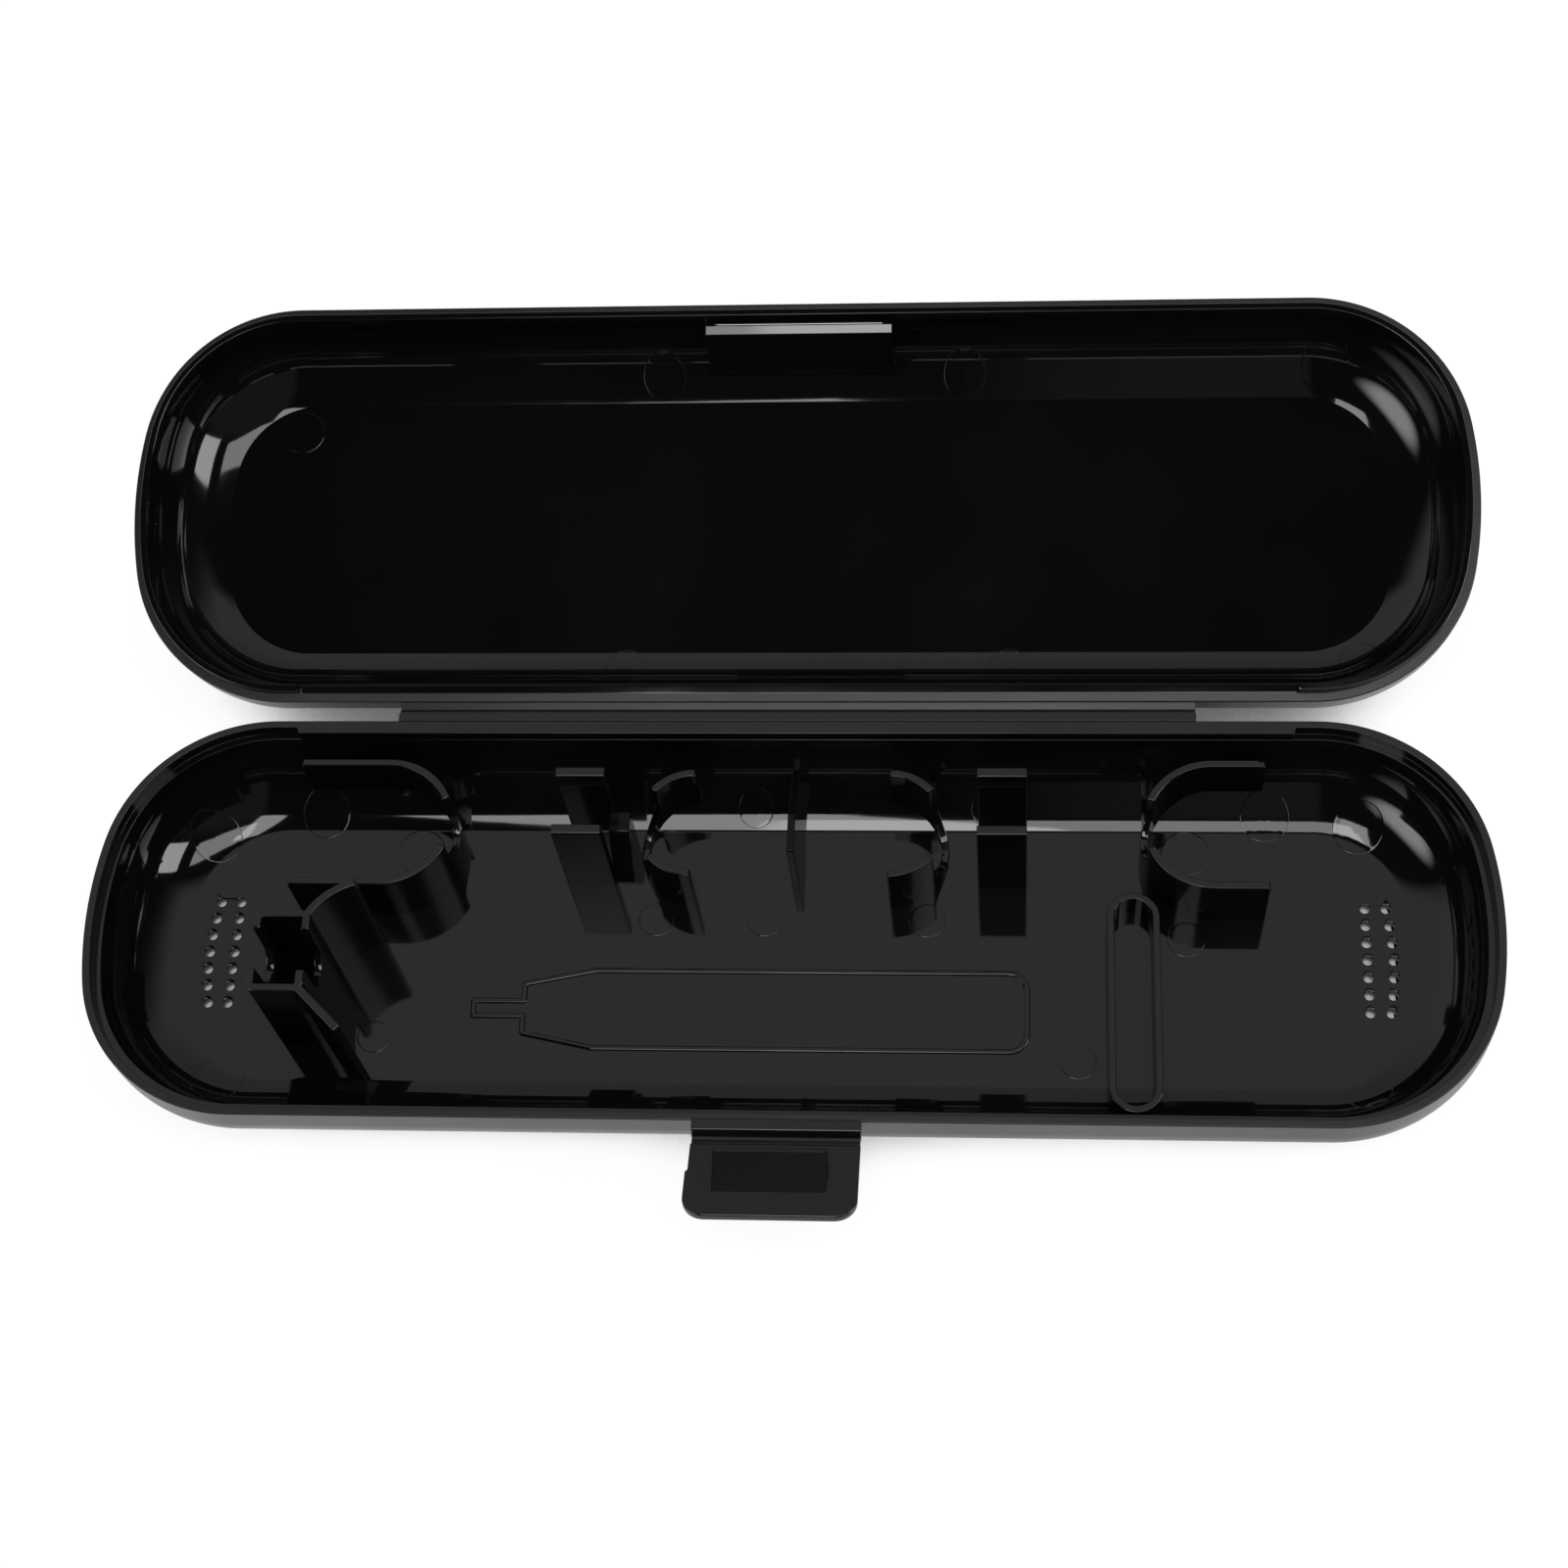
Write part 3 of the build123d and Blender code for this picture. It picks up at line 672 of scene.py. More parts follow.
fin = dict(x=0.6, frontY=12.4, thickness=1.2, flat=6.2, rearTop=7.0, reach=0.3, rounds=(0.3, 1.0, 0.1),
           points=24)
finEnd = outline["halfWidth"] - tray["wall"] + fin["reach"]
finRoute = np.linspace((fin["x"], fin["frontY"]), (fin["x"], finEnd), fin["points"])
finCorners = [(0, holderTop), (fin["flat"], holderTop), (finEnd - fin["frontY"], fin["rearTop"])]
standingWall(finRoute, finCorners, fin["rounds"], fin["thickness"], "center_fin")


well = dict(height=22.5, endInset=32.75, centerY=-9.2, length=8.7, width=13.15, notchWidth=6.0,
            notchBottom=12.5, cornerRound=0.62, pointStep=0.8)
wellX = -outline["halfLength"] + well["endInset"]
wellTop = floorZ + well["height"]


def buildWell():
    # closed rectangular wall with a notch in both end walls
    a, b = (well["length"] - holders["wall"]) / 2, (well["width"] - holders["wall"]) / 2
    corners = [(0, -b), (a, -b), (a, b), (-a, b), (-a, -b)]
    route = roundCorners(corners, [0, *[well["cornerRound"]] * 4], closed=True)
    route = densifyRoute(route, well["pointStep"]) + np.array([wellX, well["centerY"]])
    run = lengthAlong(route)
    total = run[-1] + np.linalg.norm(route[0] - route[-1])
    top, radii = [(0, wellTop)], [0]
    for side in (1, -1):
        wanted = np.array([wellX + side * a, well["centerY"]])
        middle = run[np.argmin(np.linalg.norm(route - wanted, axis=1))]
        bottom = floorZ + well["notchBottom"]
        notch, notchRadii = notchCorners(middle, well["notchWidth"] / 2, bottom, wellTop)
        top += notch
        radii += notchRadii
    top, radii = top + [(total, wellTop)], radii + [0]
    return standingWall(route, top, radii, holders["wall"], "handle_well", closed=True)


buildWell()


wings = dict(backRun=6.8, backRise=5.3, backBulge=0.85, backStep=2.5, frontRun=6.6, frontDrop=6.4,
             frontPoints=14, rounds=(0.1, 0.3))


def handleWing(node, side):
    # from a corner of the well: a bowed wall at the back, a straight one at the front
    x = wellX + (well["length"] - holders["wall"]) / 2
    y = well["centerY"] + side * (well["width"] - holders["wall"]) / 2
    if side > 0:
        end = np.array([x + wings["backRun"], y + wings["backRise"]])
        across = unit(np.array([-wings["backRise"], wings["backRun"]]))
        middle = (np.array([x, y]) + end) / 2 + across * wings["backBulge"]
        route = arcRoute((x, y), middle, end, wings["backStep"])
    else:
        end = (x + wings["frontRun"], y - wings["frontDrop"])
        route = np.linspace((x, y), end, wings["frontPoints"])
    top = [(0, wellTop), (lengthAlong(route)[-1], wellTop)]
    return standingWall(route, top, wings["rounds"], holders["wall"], node)


handleWing("handle_wing_back", 1)
handleWing("handle_wing_front", -1)


ring = dict(endInset=54.15, width=8.1, wall=1.1, height=5.0, backY=8.8, frontInset=5.9, bendPoints=33,
            pointStep=0.8)


def buildRing():
    # slot-shaped wall: two straight sides and two half rounds
    x = outline["halfLength"] - ring["endInset"]
    radius = (ring["width"] - ring["wall"]) / 2
    frontY = -outline["halfWidth"] + ring["frontInset"] + ring["width"] / 2
    backY = ring["backY"] - ring["width"] / 2
    turn = np.linspace(0, math.pi, ring["bendPoints"])
    bend = radius * np.stack([np.cos(turn), np.sin(turn)], 1)
    frontBend, backBend = np.array([x, frontY]) - bend, np.array([x, backY]) + bend
    route = densifyRoute(np.concatenate([frontBend, backBend]), ring["pointStep"])
    total = lengthAlong(np.concatenate([route, route[:1]]))[-1]
    top = [(0, floorZ + ring["height"]), (total, floorZ + ring["height"])]
    return standingWall(route, top, [0, 0], ring["wall"], "handle_rest_ring", closed=True)


buildRing()
print("walls made")


posts = dict(height=19.5, thickness=1.75, length=7.6, gap=8.0, left=-31.75, right=33.2, bump=0.6,
             bumpDrop=2.2, bumpHalf=0.85, bumpRound=0.35, bumpFootRound=0.25, topRound=0.35, edge=0.16,
             bury=0.4)


def clipPost(node, centerX, side):
    # side view in (y, z) with the clip bump on its inner face, carried along X
    inner = holders["rowY"] + side * posts["gap"] / 2
    outer = inner + side * posts["thickness"]
    topZ = floorZ + posts["height"]
    bumpZ = topZ - posts["bumpDrop"]
    footRound, topRound = posts["bumpFootRound"], posts["topRound"]
    corners = [(inner, floorZ - posts["bury"]), (outer, trayFloorHeight(centerX, outer) - posts["bury"]),
               (outer, topZ), (inner, topZ), (inner, bumpZ + posts["bumpHalf"]),
               (inner - side * posts["bump"], bumpZ), (inner, bumpZ - posts["bumpHalf"])]
    radii = [0, 0, topRound, topRound, footRound, posts["bumpRound"], footRound]
    loop = roundCorners(corners, radii, closed=True)
    half = posts["length"] / 2
    # the sides take the low-shine black that paints shade on them; the tops keep the full gloss
    piece = barPiece(node + "_pillar", loop, centerX - half, centerX + half, posts["edge"], paintedShadeBlack)
    paintWhere(piece, glossBlack, facesUp)
    return settle(piece, node)


for pair in ("left", "right"):
    clipPost(pair + "_post_front", posts[pair], -1)
    clipPost(pair + "_post_back", posts[pair], 1)


lug = dict(length=3.0, width=8.0, height=10.0, offsetY=-1.35, slopeStart=0.2, slopeRun=4.4, rounding=0.7,
           rearRound=0.3, edge=0.15, bury=0.3, joinReach=0.2)


def buildLug():
    # block beside the left posts; its front slopes back, drawn in (y, z) and carried along X
    startX = posts["left"] + posts["length"] / 2
    front = holders["rowY"] + lug["offsetY"] - lug["width"] / 2
    lowZ, topZ = floorZ - lug["bury"], floorZ + lug["height"]
    back = front + lug["width"]
    side = [(front + lug["slopeStart"], lowZ), (front + lug["slopeRun"], topZ), (back, topZ), (back, lowZ)]
    loop = roundCorners(side, [0, lug["rounding"], lug["rearRound"], 0], closed=True)
    endX = startX + lug["length"]
    # the whole lug takes the low-shine black that paints shade on it
    piece = barPiece("post_lug_block", loop, startX - lug["joinReach"], endX, lug["edge"], paintedShadeBlack)
    return settle(piece, "post_lug")


buildLug()


picture = dict(lineWidth=0.9, height=0.3, y=-9.3, stemX=-49.0, collarX=-41.1, shoulderX=-30.0, endX=37.1,
               stemHalf=1.25, collarHalf=4.1, bodyHalf=6.45, stemRound=0.1, shoulderRound=0.8, endRound=2.9,
               edge=0.28, bury=0.3, outlineStep=10, edgeSteps=3)


def buildPicture():
    # closed line round a plain handle, with a low rounded ridge carried along it; at a corner the ridge's
    # points move out by 1 / cos(half the turn)
    upper = [(picture["stemX"], picture["stemHalf"]), (picture["collarX"], picture["stemHalf"]),
             (picture["collarX"], picture["collarHalf"]), (picture["shoulderX"], picture["bodyHalf"]),
             (picture["endX"], picture["bodyHalf"])]
    roundings = [*[picture["stemRound"]] * 3, picture["shoulderRound"], picture["endRound"]]
    corners = upper + [(x, -y) for x, y in upper[::-1]]
    line = roundCorners(corners, roundings + roundings[::-1], closed=True, stepAngle=picture["outlineStep"])
    line = line[np.linalg.norm(np.roll(line, -1, 0) - line, axis=1) > 1e-6]
    ahead = unit(np.roll(line, -1, 0) - line)
    both = ahead + np.roll(ahead, 1, 0)
    side = unit(np.stack([-both[:, 1], both[:, 0]], 1))
    stretch = 1 / np.maximum(np.sum(side * np.stack([-ahead[:, 1], ahead[:, 0]], 1), 1), 0.5)
    half, edge = picture["lineWidth"] / 2, picture["edge"]
    turn = np.linspace(0, math.pi / 2, picture["edgeSteps"] + 1)
    outer = half - edge + edge * np.cos(turn)
    rise = picture["height"] - edge + edge * np.sin(turn)
    across = np.concatenate([[half], outer, -outer[::-1], [-half]])
    level = np.concatenate([[-picture["bury"]], rise, rise[::-1], [-picture["bury"]]])
    x = line[None, :, 0] + across[:, None] * (side[:, 0] * stretch)[None]
    y = line[None, :, 1] + picture["y"] + across[:, None] * (side[:, 1] * stretch)[None]
    z = np.broadcast_to(floorZ + level[:, None], x.shape)
    faces = gridFaces(*x.shape, wrapRows=True, wrapColumns=True)
    piece = makePiece("handle_outline_ridge", np.stack([x, y, z], -1), faces, glossBlack)
    return settle(piece, "handle_outline")


buildPicture()
print("posts and picture line made")


lid = dict(
    top=1.6, depth=15.0, rimGap=0.1, wall=2.55, tongueInset=1.5, tongueHeight=1.8, tongueGap=78.6,
    leastTongue=0.01, gapBlend=0.15, outsideFillet=13.5, capInset=14.0, rimRound=0.22, innerRimRound=0.06,
    tongueRound=0.15, wallRise=0.6, outlineStep=4.5, openAngle=164.4,
    satinInset=1.45, satinAbove=0.4, satinFacing=0.02, creaseReach=0.02,
    pocketHalf=15.25, pocketInset=4.3, pocketInsetTop=8.2, pocketEdge=0.01, barHeight=2.4,
    pinMarks=[(-84.2, -16.8, 3.7), (85.1, -25.8, 3.9), (-23.0, -25.2, 3.6), (26.8, -25.2, 3.6),
              (-28.4, 24.2, 3.4), (34.1, 24.2, 3.4), (90.0, 23.4, 3.4)],
)
hingeAxis = np.array(frame["joints"][0]["pos_m"]) / mm
lidRimZ = rimZ + lid["rimGap"]
lidFloorZ = lidRimZ + lid["depth"]


def opened(points):
    # from the shut lid to the photographed one: turned back about the hinge's axis
    return turnedAboutX(points, hingeAxis[1:], -lid["openAngle"])


def buildLid():
    # drawn shut, from the middle of its top over the rim and the tongue to the flat inside
    topZ = lidFloorZ + lid["top"]
    tongueZ = lidRimZ - lid["tongueHeight"]
    outer = roundCorners(
        [(lid["capInset"], topZ), (0, topZ), (0, lidRimZ), (lid["tongueInset"], lidRimZ),
         (lid["tongueInset"], tongueZ), (lid["wall"], tongueZ), (lid["wall"], lidRimZ + lid["wallRise"])],
        [0, lid["outsideFillet"], lid["rimRound"], lid["innerRimRound"], lid["tongueRound"],
         lid["tongueRound"], 0], stepAngle=lid["outlineStep"])
    profile = np.concatenate([outer, filletProfile(lid["wall"]) * [1, -1] + [0, lidFloorZ]])
    stations, gate = stationsWithGap(lid["tongueGap"], lid["gapBlend"])
    height = profile[:, 1, None] + 0 * gate
    tongue = lidRimZ - (lidRimZ - height) * np.maximum(gate, lid["leastTongue"])
    height = np.where(height < lidRimZ, tongue, height)
    shell = sweptRim(stations, np.broadcast_to(profile[:, :1], height.shape), height)
    rows, columns = shell.shape[:2]
    faces = gridFaces(rows, columns, wrapColumns=True)
    points = shell.reshape(-1, 3)
    for first in (0, (rows - 1) * columns):
        faces += filledFaces(points, [loopFrom(first, columns)])
    return points, faces


def lidFloorDepth(x, y):
    # in a frame turned upside down, so that heights grow towards the rim
    return filletHeight(insetAt(x, y), lid["wall"])


def cutPocket(shell):
    # slanted opening through the front wall of the shut lid; the cutter reaches past the wall and the top
    past = 3
    catchZ = lidRimZ + lid["barHeight"]
    topZ = lidFloorZ + lid["top"] + past
    slope = (lid["pocketInsetTop"] - lid["pocketInset"]) / (lid["depth"] - lid["barHeight"])
    front = -outline["halfWidth"]
    inner = front + lid["pocketInset"]
    farInner = inner + slope * (topZ - catchZ)
    side = [(front - past, catchZ), (inner, catchZ), (farInner, topZ), (front - past, topZ)]
    half = lid["pocketHalf"]
    cutter = barPiece("pocketCutter", side, -half, half, lid["pocketEdge"], glossBlack, opened)
    cutter.modifiers.clear()
    cut = shell.modifiers.new("pocketCut", "BOOLEAN")
    cut.operation = "DIFFERENCE"
    cut.solver = "EXACT"
    cut.object = cutter
    bpy.context.view_layer.update()
    result = bpy.data.meshes.new_from_object(shell.evaluated_get(bpy.context.evaluated_depsgraph_get()))
    shell.modifiers.clear()
    shell.data = result
    bpy.data.objects.remove(cutter)
    smoothPiece(shell)


def shutPlaces(places):
    # inset and height that places on the open lid have when it is shut
    shut = turnedAboutX(places, hingeAxis[1:], lid["openAngle"])
    return insetAt(shut[:, 0], shut[:, 1]), shut[:, 2]


def outsideOfLid(centers, normals):
    # satin outside of the lid when it is shut: near the outline, above the inside, or facing up
    inset, height = shutPlaces(centers)
    normalZ = turnedAboutX(normals, (0, 0), lid["openAngle"])[:, 2]
    outward = (inset < lid["satinInset"]) | (normalZ > lid["satinFacing"])
    return outward | (height > lidFloorZ + lid["satinAbove"])


def onLidCrease(places):
    # line where the round foot ends: an inset of wall + run, at the height of the flat inside
    inset, height = shutPlaces(places)
    across, up = abs(inset - lid["wall"] - filletRun), abs(height - lidFloorZ)
    return (across < lid["creaseReach"]) & (up < lid["creaseReach"])


points, faces = buildLid()
lidShell = makePiece("lid_shell_skin", opened(points), faces, glossBlack)
lidShell.modifiers.clear()
cutPocket(lidShell)
paintWhere(lidShell, outerBlack, outsideOfLid)
sharpenCrease(lidShell, onLidCrease)
settle(lidShell, "lid_shell", body="lid")
points, faces = markDiscs(lid["pinMarks"], lidFloorDepth)
points = points * [1, 1, -1] + [0, 0, lidFloorZ]
settle(makePiece("lid_pin_marks", opened(points), faces, glossBlack), body="lid")
print("lid made:", len(lidShell.data.polygons), "faces")


latch = dict(centerX=0.6, width=24.9, openAngle=20.0, webRear=0.7, webFront=0.9)
latchAxis = np.array(frame["joints"][1]["pos_m"]) / mm
latchStartX = latch["centerX"] - latch["width"] / 2
latchEndX = latch["centerX"] + latch["width"] / 2


def latchTurned(points):
    # from a level flap to the photographed one
    return turnedAboutX(points, latchAxis[1:], -latch["openAngle"])


flap = dict(length=14.2, inner=0.85, outer=0.35, startOuter=0.4, startInner=1.2, slantLength=1.5,
            sideRound=0.26, cornerRound=3.3, outlineStep=8, stepStart=6.0, stepRun=0.2, stepWidth=0.35,
            stepRound=0.3, edge=0.25)


def buildFlap():
    # plan in (x, distance from the bend); the inner face starts further out than the outer one
    stepX = latchStartX - flap["stepWidth"]
    start, end, stepEnd = flap["startOuter"], flap["length"], flap["stepStart"] + flap["stepRun"]
    plan = [(latchStartX, start), (latchStartX, flap["stepStart"]), (stepX, stepEnd), (stepX, end),
            (latchEndX, end), (latchEndX, start)]
    radii = [flap["sideRound"], *[flap["stepRound"]] * 2, *[flap["cornerRound"]] * 2, flap["sideRound"]]
    plan = roundCorners(plan, radii, closed=True, stepAngle=flap["outlineStep"])
    low, high = latchAxis[2] - flap["outer"], latchAxis[2] + flap["inner"]
    x, away, z, faces = slabPoints(plan, low, high, flap["edge"])
    slant = (flap["startInner"] - flap["startOuter"]) * (z - low) / (high - low)
    away = away + np.where(away < flap["slantLength"], slant, 0)
    points = latchTurned(np.stack([x, latchAxis[1] - away, z], -1))
    piece = makePiece("latch_flap_plate", points, faces, latchBlack)
    return settle(piece, "latch_flap", body="latch", slot="latch_satin_black")


hookRib = dict(width=16.5, offset=-0.4, height=2.7, start=4.05, crest=0.7, ramp=5.2, bury=0.2,
               catchRound=0.2, crestRound=0.3, edge=0.15, crestFacing=0.97)


def buildHook():
    # rib with a steep side, a narrow crest and a long ramp, drawn in (y, z) and carried along X
    face = latchAxis[2] + flap["inner"]
    buried, crest = face - hookRib["bury"], face + hookRib["height"]
    start = latchAxis[1] - hookRib["start"]
    crestEnd = start - hookRib["crest"]
    rampEnd = crestEnd - hookRib["ramp"]
    side = [(start, buried), (start, crest), (crestEnd, crest), (rampEnd, face), (rampEnd, buried)]
    loop = roundCorners(side, [0, hookRib["catchRound"], hookRib["crestRound"], 0, 0], closed=True)
    startX = latch["centerX"] + hookRib["offset"] - hookRib["width"] / 2
    endX = startX + hookRib["width"]
    piece = barPiece("latch_hook_rib", loop, startX, endX, hookRib["edge"], hookShadeBlack, latchTurned)
    crestNormal = np.diff(latchTurned(np.array([[0.0, 0, 0], [0, 0, 1]])), axis=0)[0]
    # the crest facing straight out keeps the latch's own shine; the rest of the rib takes the low-shine
    # black, a painted shade
    paintWhere(piece, latchBlack, lambda centers, normals: normals @ crestNormal > hookRib["crestFacing"])
    return settle(piece, "latch_hook", body="latch", slot="latch_satin_black")


latchRoot = dict(reach=2.1, height=2.6, bevelRun=0.7, bevelDrop=1.2, topRound=0.3, frontRound=0.2,
                 bury=0.3, edge=0.1)


def buildLatchRoot():
    # block on the front wall with a bevelled upper edge, drawn in (y, z) and carried along X
    inside = -outline["halfWidth"] + latchRoot["bury"]
    front = -outline["halfWidth"] - latchRoot["reach"]
    lowZ = rimZ - latchRoot["height"]
    side = [(inside, rimZ), (front + latchRoot["bevelRun"], rimZ), (front, rimZ - latchRoot["bevelDrop"]),
            (front, lowZ), (inside, lowZ)]
    loop = roundCorners(side, [0, latchRoot["topRound"], *[latchRoot["frontRound"]] * 2, 0], closed=True)
    piece = barPiece("latch_root_block", loop, latchStartX, latchEndX, latchRoot["edge"], latchBlack)
    return settle(piece, "latch_root", slot="latch_satin_black")


webs = dict(latchHalf=0.25, hingeHalf=0.2, sideGap=0.1, bendRound=0.3, pointStep=0.12, edge=0.05)


def buildWeb(node, route, half, startX, endX, material):
    # thin band carried along X: the route moved aside by half its thickness, and back on the other side
    route = densify(roundCorners(route, webs["bendRound"]), webs["pointStep"])
    side = leftNormals(route)
    loop = np.concatenate([route + side * half, (route - side * half)[::-1]])
    startX, endX = startX + webs["sideGap"], endX - webs["sideGap"]
    piece = barPiece(node + "_band", loop, startX, endX, webs["edge"], material)
    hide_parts(node)
    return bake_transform(piece)


buildFlap()
buildHook()
buildLatchRoot()
latchRise = math.radians(latch["openAngle"])
latchTip = (-latch["webFront"] * math.cos(latchRise), latch["webFront"] * math.sin(latchRise))
latchRoute = np.array([(latch["webRear"], 0), (0, 0), latchTip]) + latchAxis[1:]
buildWeb("latch_web", latchRoute, webs["latchHalf"], latchStartX, latchEndX, latchBlack)
print("latch made")


hinge = dict(startX=-62.0, endX=63.0, bevel=0.12, pocketBevel=0.2, bevelSteps=2, bevelAngle=35,
             route=[(-0.6, 0), (-0.1, 0), (0.35, -0.35), (0.8, -0.85)])  # (y, z) from the axis
hingeRoute = np.array(hinge["route"]) + hingeAxis[1:]
buildWeb("hinge_web", hingeRoute, webs["hingeHalf"], hinge["startX"], hinge["endX"], hingeBlack)


def dressNode(node, material, bevel):
    # CAD node with its own finish: welded, its sharp edges rounded
    piece = frame["nodes"][node]
    piece.data.materials.clear()
    piece.data.materials.append(material)
    weld = piece.modifiers.new("weld", "WELD")
    weld.merge_threshold = 1e-6
    edges = piece.modifiers.new("edges", "BEVEL")
    edges.width = bevel * mm
    edges.segments = hinge["bevelSteps"]
    edges.limit_method = "ANGLE"
    edges.angle_limit = math.radians(hinge["bevelAngle"])
    edges.harden_normals = True


dressNode("base_hinge_leaf", hingeBlack, hinge["bevel"])
dressNode("lid_hinge_leaf", hingeBlack, hinge["bevel"])
dressNode("catch_pocket", glossBlack, hinge["pocketBevel"])


ledge = dict(half=15.1, outerInset=2.9, innerInset=4.15, slope=0.175, thin=0.03, bury=0.1, edge=0.06)


def buildCatchLedge():
    # sloping face on the pocket's ledge, drawn in (y, z) of the shut lid
    catchZ = lidRimZ + lid["barHeight"]
    outer, inner = [ledge[name] - outline["halfWidth"] for name in ("outerInset", "innerInset")]
    innerZ, buriedZ = catchZ - ledge["thin"], catchZ + ledge["bury"]
    side = [(outer, buriedZ), (outer, innerZ - ledge["slope"]), (inner, innerZ), (inner, buriedZ)]
    half = ledge["half"]
    piece = barPiece("catch_ledge_slope", side, -half, half, ledge["edge"], glossBlack, opened)
    return settle(piece, body="lid")


buildCatchLedge()
print("hinge and catch made")


studio = dict(
    target=(0.0, 0.025, 0.01),
    # floor: metres across, grid lines, millimetres below the case, own light, its share, matte grey;
    # the own light falls to shadeLevel where things within shadeReach metres cover the sky, a painted shade
    floorSize=6.0, floorLines=25, floorDrop=0.05, floorGlow=1.08, floorShare=0.8, floorColor=0.86,
    shadeReach=0.05, shadeRange=(0.10, 0.40), shadeLevel=0.12,
    # grey sweep behind the case: level, from where to where it rises, how much it falls again and where,
    # and where it ends at the right
    sweepLevel=0.56, sweepRange=(0.12, 0.29), sweepFall=0.24, fallRange=(0.5, 1.0), sweepRight=(0.45, 0.95),
    # dark room overhead, a little light at the front, and what reaches matte surfaces
    overhead=0.010, frontGlow=0.11, frontRange=(-0.5, -0.3), frontRight=(-0.04, 0.06), fill=0.34,
    # degrees from overhead towards +X and +Y, half width, half height, roll, brightness, metres away
    softboxes={
        "topRight": (14, -10.9, 19.5, 8.6, 4, 3.2, 0.71),
        "topLeft": (-6.6, -15.5, 7, 11.5, -20, 4.0, 0.93),
        "right": (64, -8, 14.5, 11, 5, 5.2, 0.9),
    },
    # soft glow at the left: same angles, half length, half height, brightness; and where it fades
    glow=(-58, -35, 28, 17, 4.6), glowFade=(0.1, 1.2),
)


def overheadDirection(degreesX, degreesY):
    # map of the sky: distance from the middle is the angle from overhead
    away = math.radians(math.hypot(degreesX, degreesY))
    toward = math.atan2(degreesY, degreesX)
    return Vector((math.sin(away) * math.cos(toward), math.sin(away) * math.sin(toward), math.cos(away)))


def softbox(name, degreesX, degreesY, halfWidth, halfHeight, roll, brightness, distance):
    # flat lamp that faces the case: side = 2 * distance * tan(half its angle), power = 4 * area * brightness
    away = overheadDirection(degreesX, degreesY)
    alongX = overheadDirection(degreesX + 1, degreesY) - overheadDirection(degreesX - 1, degreesY)
    alongX = (alongX - away * alongX.dot(away)).normalized()
    alongX = Matrix.Rotation(math.radians(roll), 3, away) @ alongX
    alongY = away.cross(alongX)
    lamp = bpy.data.lights.new(name, "AREA")
    lamp.shape = "RECTANGLE"
    lamp.size = 2 * distance * math.tan(math.radians(halfWidth))
    lamp.size_y = 2 * distance * math.tan(math.radians(halfHeight))
    lamp.energy = 4 * lamp.size * lamp.size_y * brightness
    holder = bpy.data.objects.new(name, lamp)
    turn = Matrix((alongX, alongY, away)).transposed().to_4x4()
    holder.matrix_world = Matrix.Translation(Vector(studio["target"]) + away * distance) @ turn
    holder.visible_camera = False
    bpy.context.scene.collection.objects.link(holder)


for name, values in studio["softboxes"].items():
    softbox(name, *values)


def mathNode(nodes, links, operation, *values):
    # one Math node after another: the operation on the first two values, then on the result and the next
    result = values[0]
    for value in values[1:]:
        node = nodes.new("ShaderNodeMath")
        node.operation = operation
        for socket, part in zip(node.inputs, (result, value)):
            if isinstance(part, (int, float)):
                socket.default_value = part
            else:
                links.new(part, socket)
        result = node.outputs[0]
    return result


def rampNode(nodes, links, value, fromMin, fromMax, toMin, toMax):
    # smooth step from one value to another
    node = addNode(nodes, "ShaderNodeMapRange", {
        "From Min": fromMin, "From Max": fromMax, "To Min": toMin, "To Max": toMax})
    node.interpolation_type = "SMOOTHSTEP"
    links.new(value, node.inputs["Value"])
    return node.outputs["Result"]


def dotNode(nodes, links, direction, axis):
    # how far a direction points along an axis
    node = nodes.new("ShaderNodeVectorMath")
    node.operation = "DOT_PRODUCT"
    node.inputs[1].default_value = axis
    links.new(direction, node.inputs[0])
    return node.outputs["Value"]


def glowPatch(nodes, links, direction):
    # soft ellipse in the sky: (across / a)^2 + (up / b)^2 fades from its middle to its edge
    degreesX, degreesY, halfWidth, halfHeight, level = studio["glow"]
    middle = overheadDirection(degreesX, degreesY)
    across = Vector((0, 0, 1)).cross(middle).normalized()
    squares = []
    for axis, half in ((across, halfWidth), (middle.cross(across), halfHeight)):
        dot = dotNode(nodes, links, direction, axis / math.sin(math.radians(half)))
        squares.append(mathNode(nodes, links, "MULTIPLY", dot, dot))
    ahead = mathNode(nodes, links, "GREATER_THAN", dotNode(nodes, links, direction, middle), 0.0)
    fade = rampNode(nodes, links, mathNode(nodes, links, "ADD", *squares), *studio["glowFade"], level, 0)
    return mathNode(nodes, links, "MULTIPLY", fade, ahead)


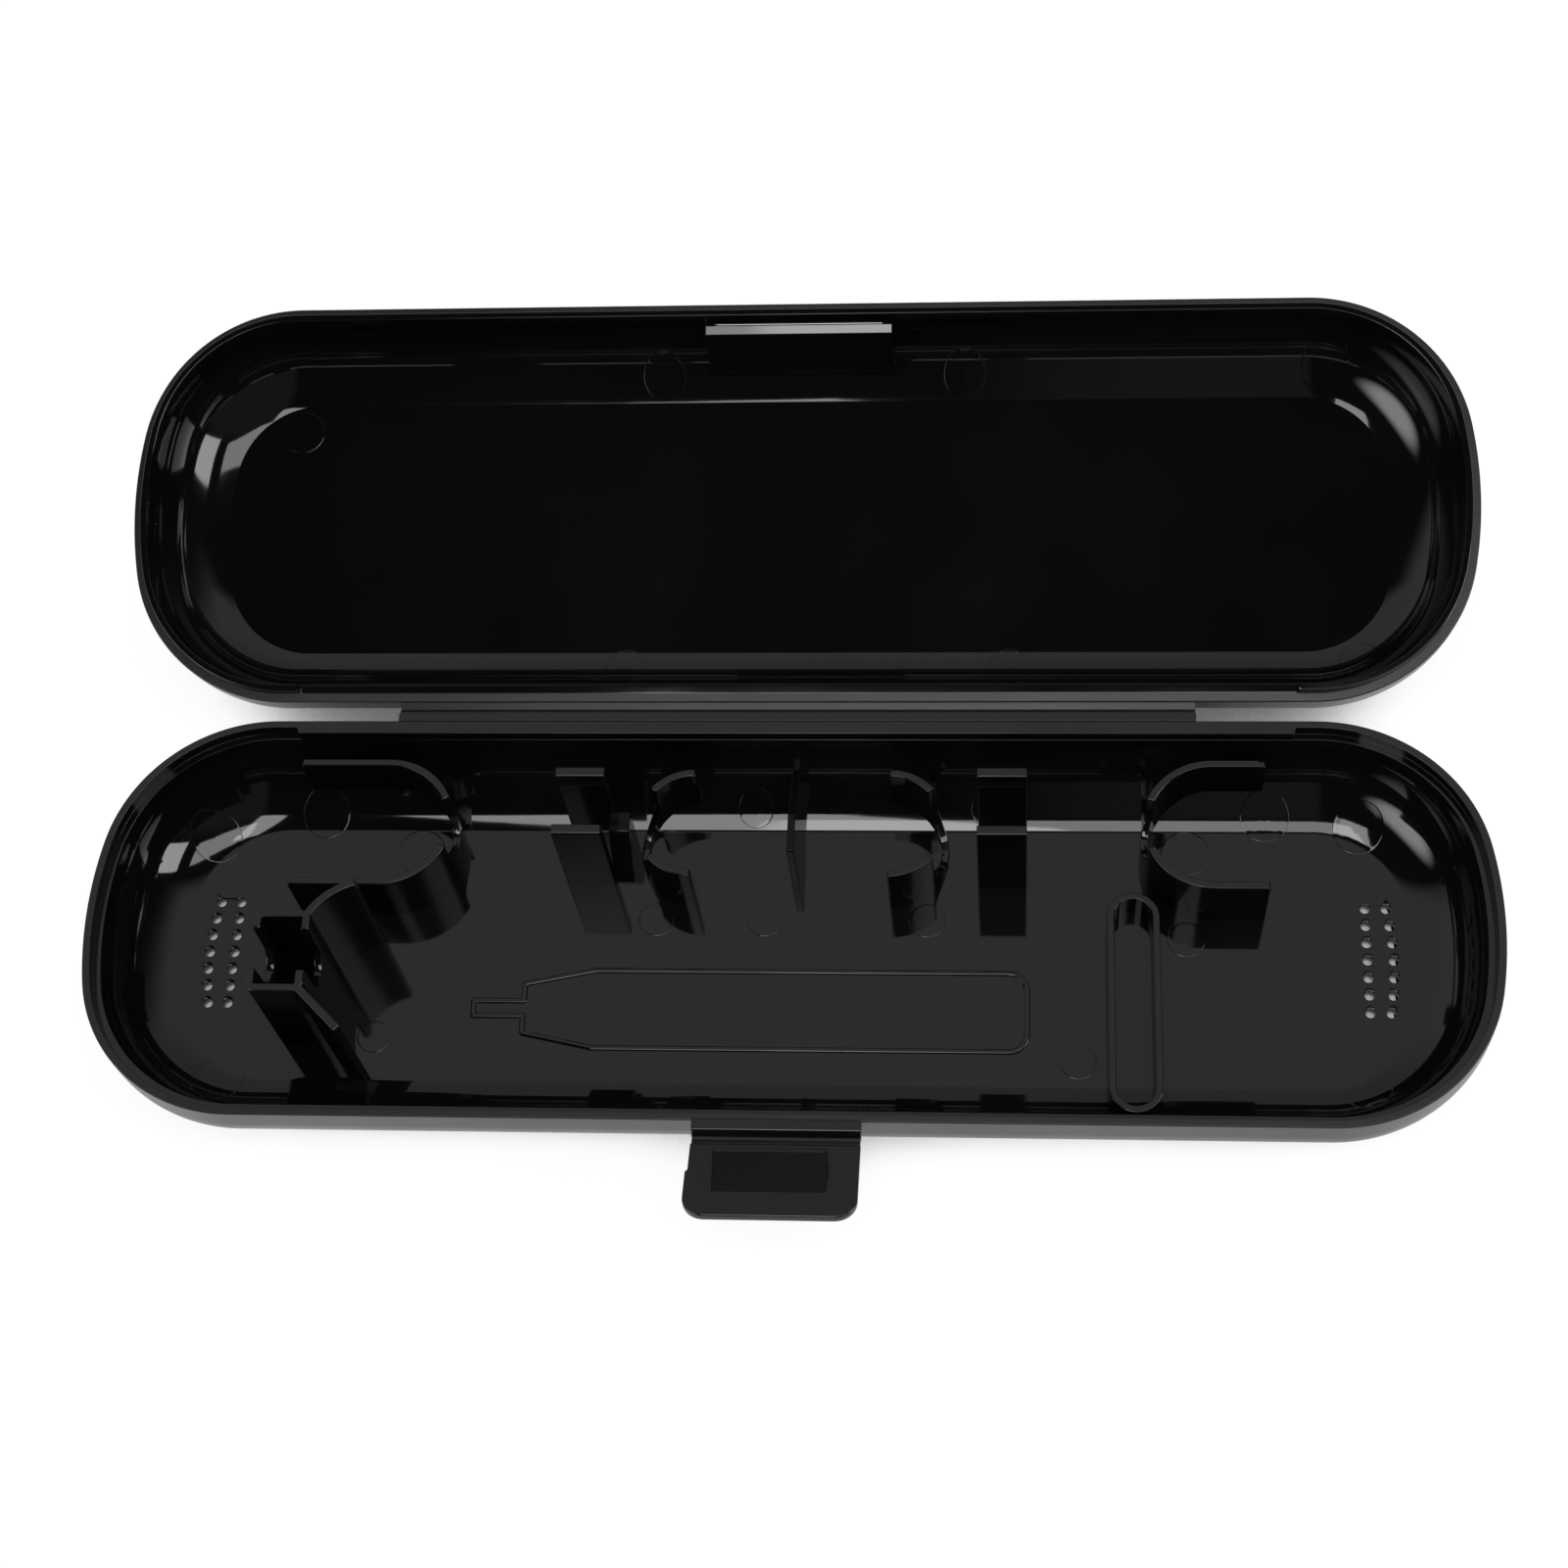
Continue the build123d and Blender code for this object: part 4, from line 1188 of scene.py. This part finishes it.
def buildWorld():
    # white for the camera; a pale grey sweep behind the case and a dark room above it for reflections
    world = bpy.data.worlds.new("studio")
    bpy.context.scene.world = world
    world.use_nodes = True
    nodes, links = world.node_tree.nodes, world.node_tree.links
    ray = nodes.new("ShaderNodeLightPath").outputs
    direction = nodes.new("ShaderNodeTexCoord").outputs["Generated"]
    parts = nodes.new("ShaderNodeSeparateXYZ")
    links.new(direction, parts.inputs[0])
    towardX, towardY = parts.outputs["X"], parts.outputs["Y"]
    back = rampNode(nodes, links, towardY, *studio["sweepRange"], 0, studio["sweepLevel"])
    right = rampNode(nodes, links, towardX, *studio["sweepRight"], 1, 0)
    fallTo = 1 - studio["sweepFall"] / studio["sweepLevel"]
    fall = rampNode(nodes, links, towardY, *studio["fallRange"], 1, fallTo)
    sweep = mathNode(nodes, links, "MULTIPLY", back, fall, right)
    near = rampNode(nodes, links, towardY, *studio["frontRange"], studio["frontGlow"], 0)
    nearRight = rampNode(nodes, links, towardX, *studio["frontRight"], 0, 1)
    front = mathNode(nodes, links, "MULTIPLY", near, nearRight)
    soft = mathNode(nodes, links, "MULTIPLY", ray["Is Diffuse Ray"], studio["fill"])
    glow = glowPatch(nodes, links, direction)
    room = mathNode(nodes, links, "ADD", sweep, front, studio["overhead"], glow, soft)
    strength = mathNode(nodes, links, "MAXIMUM", room, ray["Is Camera Ray"], ray["Is Transmission Ray"])
    links.new(strength, nodes["Background"].inputs["Strength"])
    nodes["Background"].inputs["Color"].default_value = (1, 1, 1, 1)


def buildFloor():
    # pale floor: mostly white by itself for the camera and for reflections; the shade below the case is
    # mostly painted by fading that own light, and only its small matte share takes the lamps' shadow
    half = studio["floorSize"] / 2 / mm
    side = np.linspace(-half, half, studio["floorLines"])
    x, y = np.meshgrid(side, side)
    grid = np.stack([x, y, np.full(x.shape, -studio["floorDrop"])], -1)
    mesh = bpy.data.meshes.new("floor")
    mesh.from_pydata((grid.reshape(-1, 3) * mm).tolist(), [], gridFaces(*x.shape))
    floor = bpy.data.objects.new("floor", mesh)
    bpy.context.scene.collection.objects.link(floor)
    material = bpy.data.materials.new("paleFloor")
    material.use_nodes = True
    nodes, links = material.node_tree.nodes, material.node_tree.links
    nodes.remove(nodes["Principled BSDF"])
    matte = addNode(nodes, "ShaderNodeBsdfDiffuse", {"Color": (*[studio["floorColor"]] * 3, 1)})
    glow = nodes.new("ShaderNodeEmission")
    # painted shade: its own light fades where something stands over it, so it is dark below the case in
    # every pose
    openSky = addNode(nodes, "ShaderNodeAmbientOcclusion", {"Distance": studio["shadeReach"]})
    strength = rampNode(nodes, links, openSky.outputs["AO"], *studio["shadeRange"],
                        studio["floorGlow"] * studio["shadeLevel"], studio["floorGlow"])
    links.new(strength, glow.inputs["Strength"])
    ray = nodes.new("ShaderNodeLightPath").outputs
    rays = [ray[name] for name in ("Is Camera Ray", "Is Glossy Ray", "Is Transmission Ray")]
    seen = mathNode(nodes, links, "MAXIMUM", *rays)
    blend = nodes.new("ShaderNodeMixShader")
    links.new(mathNode(nodes, links, "MULTIPLY", seen, studio["floorShare"]), blend.inputs["Fac"])
    links.new(matte.outputs[0], blend.inputs[1])
    links.new(glow.outputs[0], blend.inputs[2])
    links.new(blend.outputs[0], nodes["Material Output"].inputs["Surface"])
    mesh.materials.append(material)


buildWorld()
buildFloor()

view = dict(location=(0.0362068, -0.167364, 0.400848), heading=0.191, tilt=0.466, spin=-0.169, lens=63.79,
            sensorWidth=36.0, clipStart=0.01)
camera = bpy.data.objects.new("camera", bpy.data.cameras.new("camera"))
bpy.context.scene.collection.objects.link(camera)
camera.matrix_world = Matrix.Translation(Vector(view["location"]))
for name, axis in (("heading", "Z"), ("tilt", "X"), ("spin", "Z")):
    camera.matrix_world = camera.matrix_world @ Matrix.Rotation(view[name], 4, axis)
camera.data.lens = view["lens"]
camera.data.sensor_width = view["sensorWidth"]
camera.data.clip_start = view["clipStart"]
bpy.context.scene.camera = camera
bpy.context.scene.view_settings.view_transform = "Standard"
print("studio made")
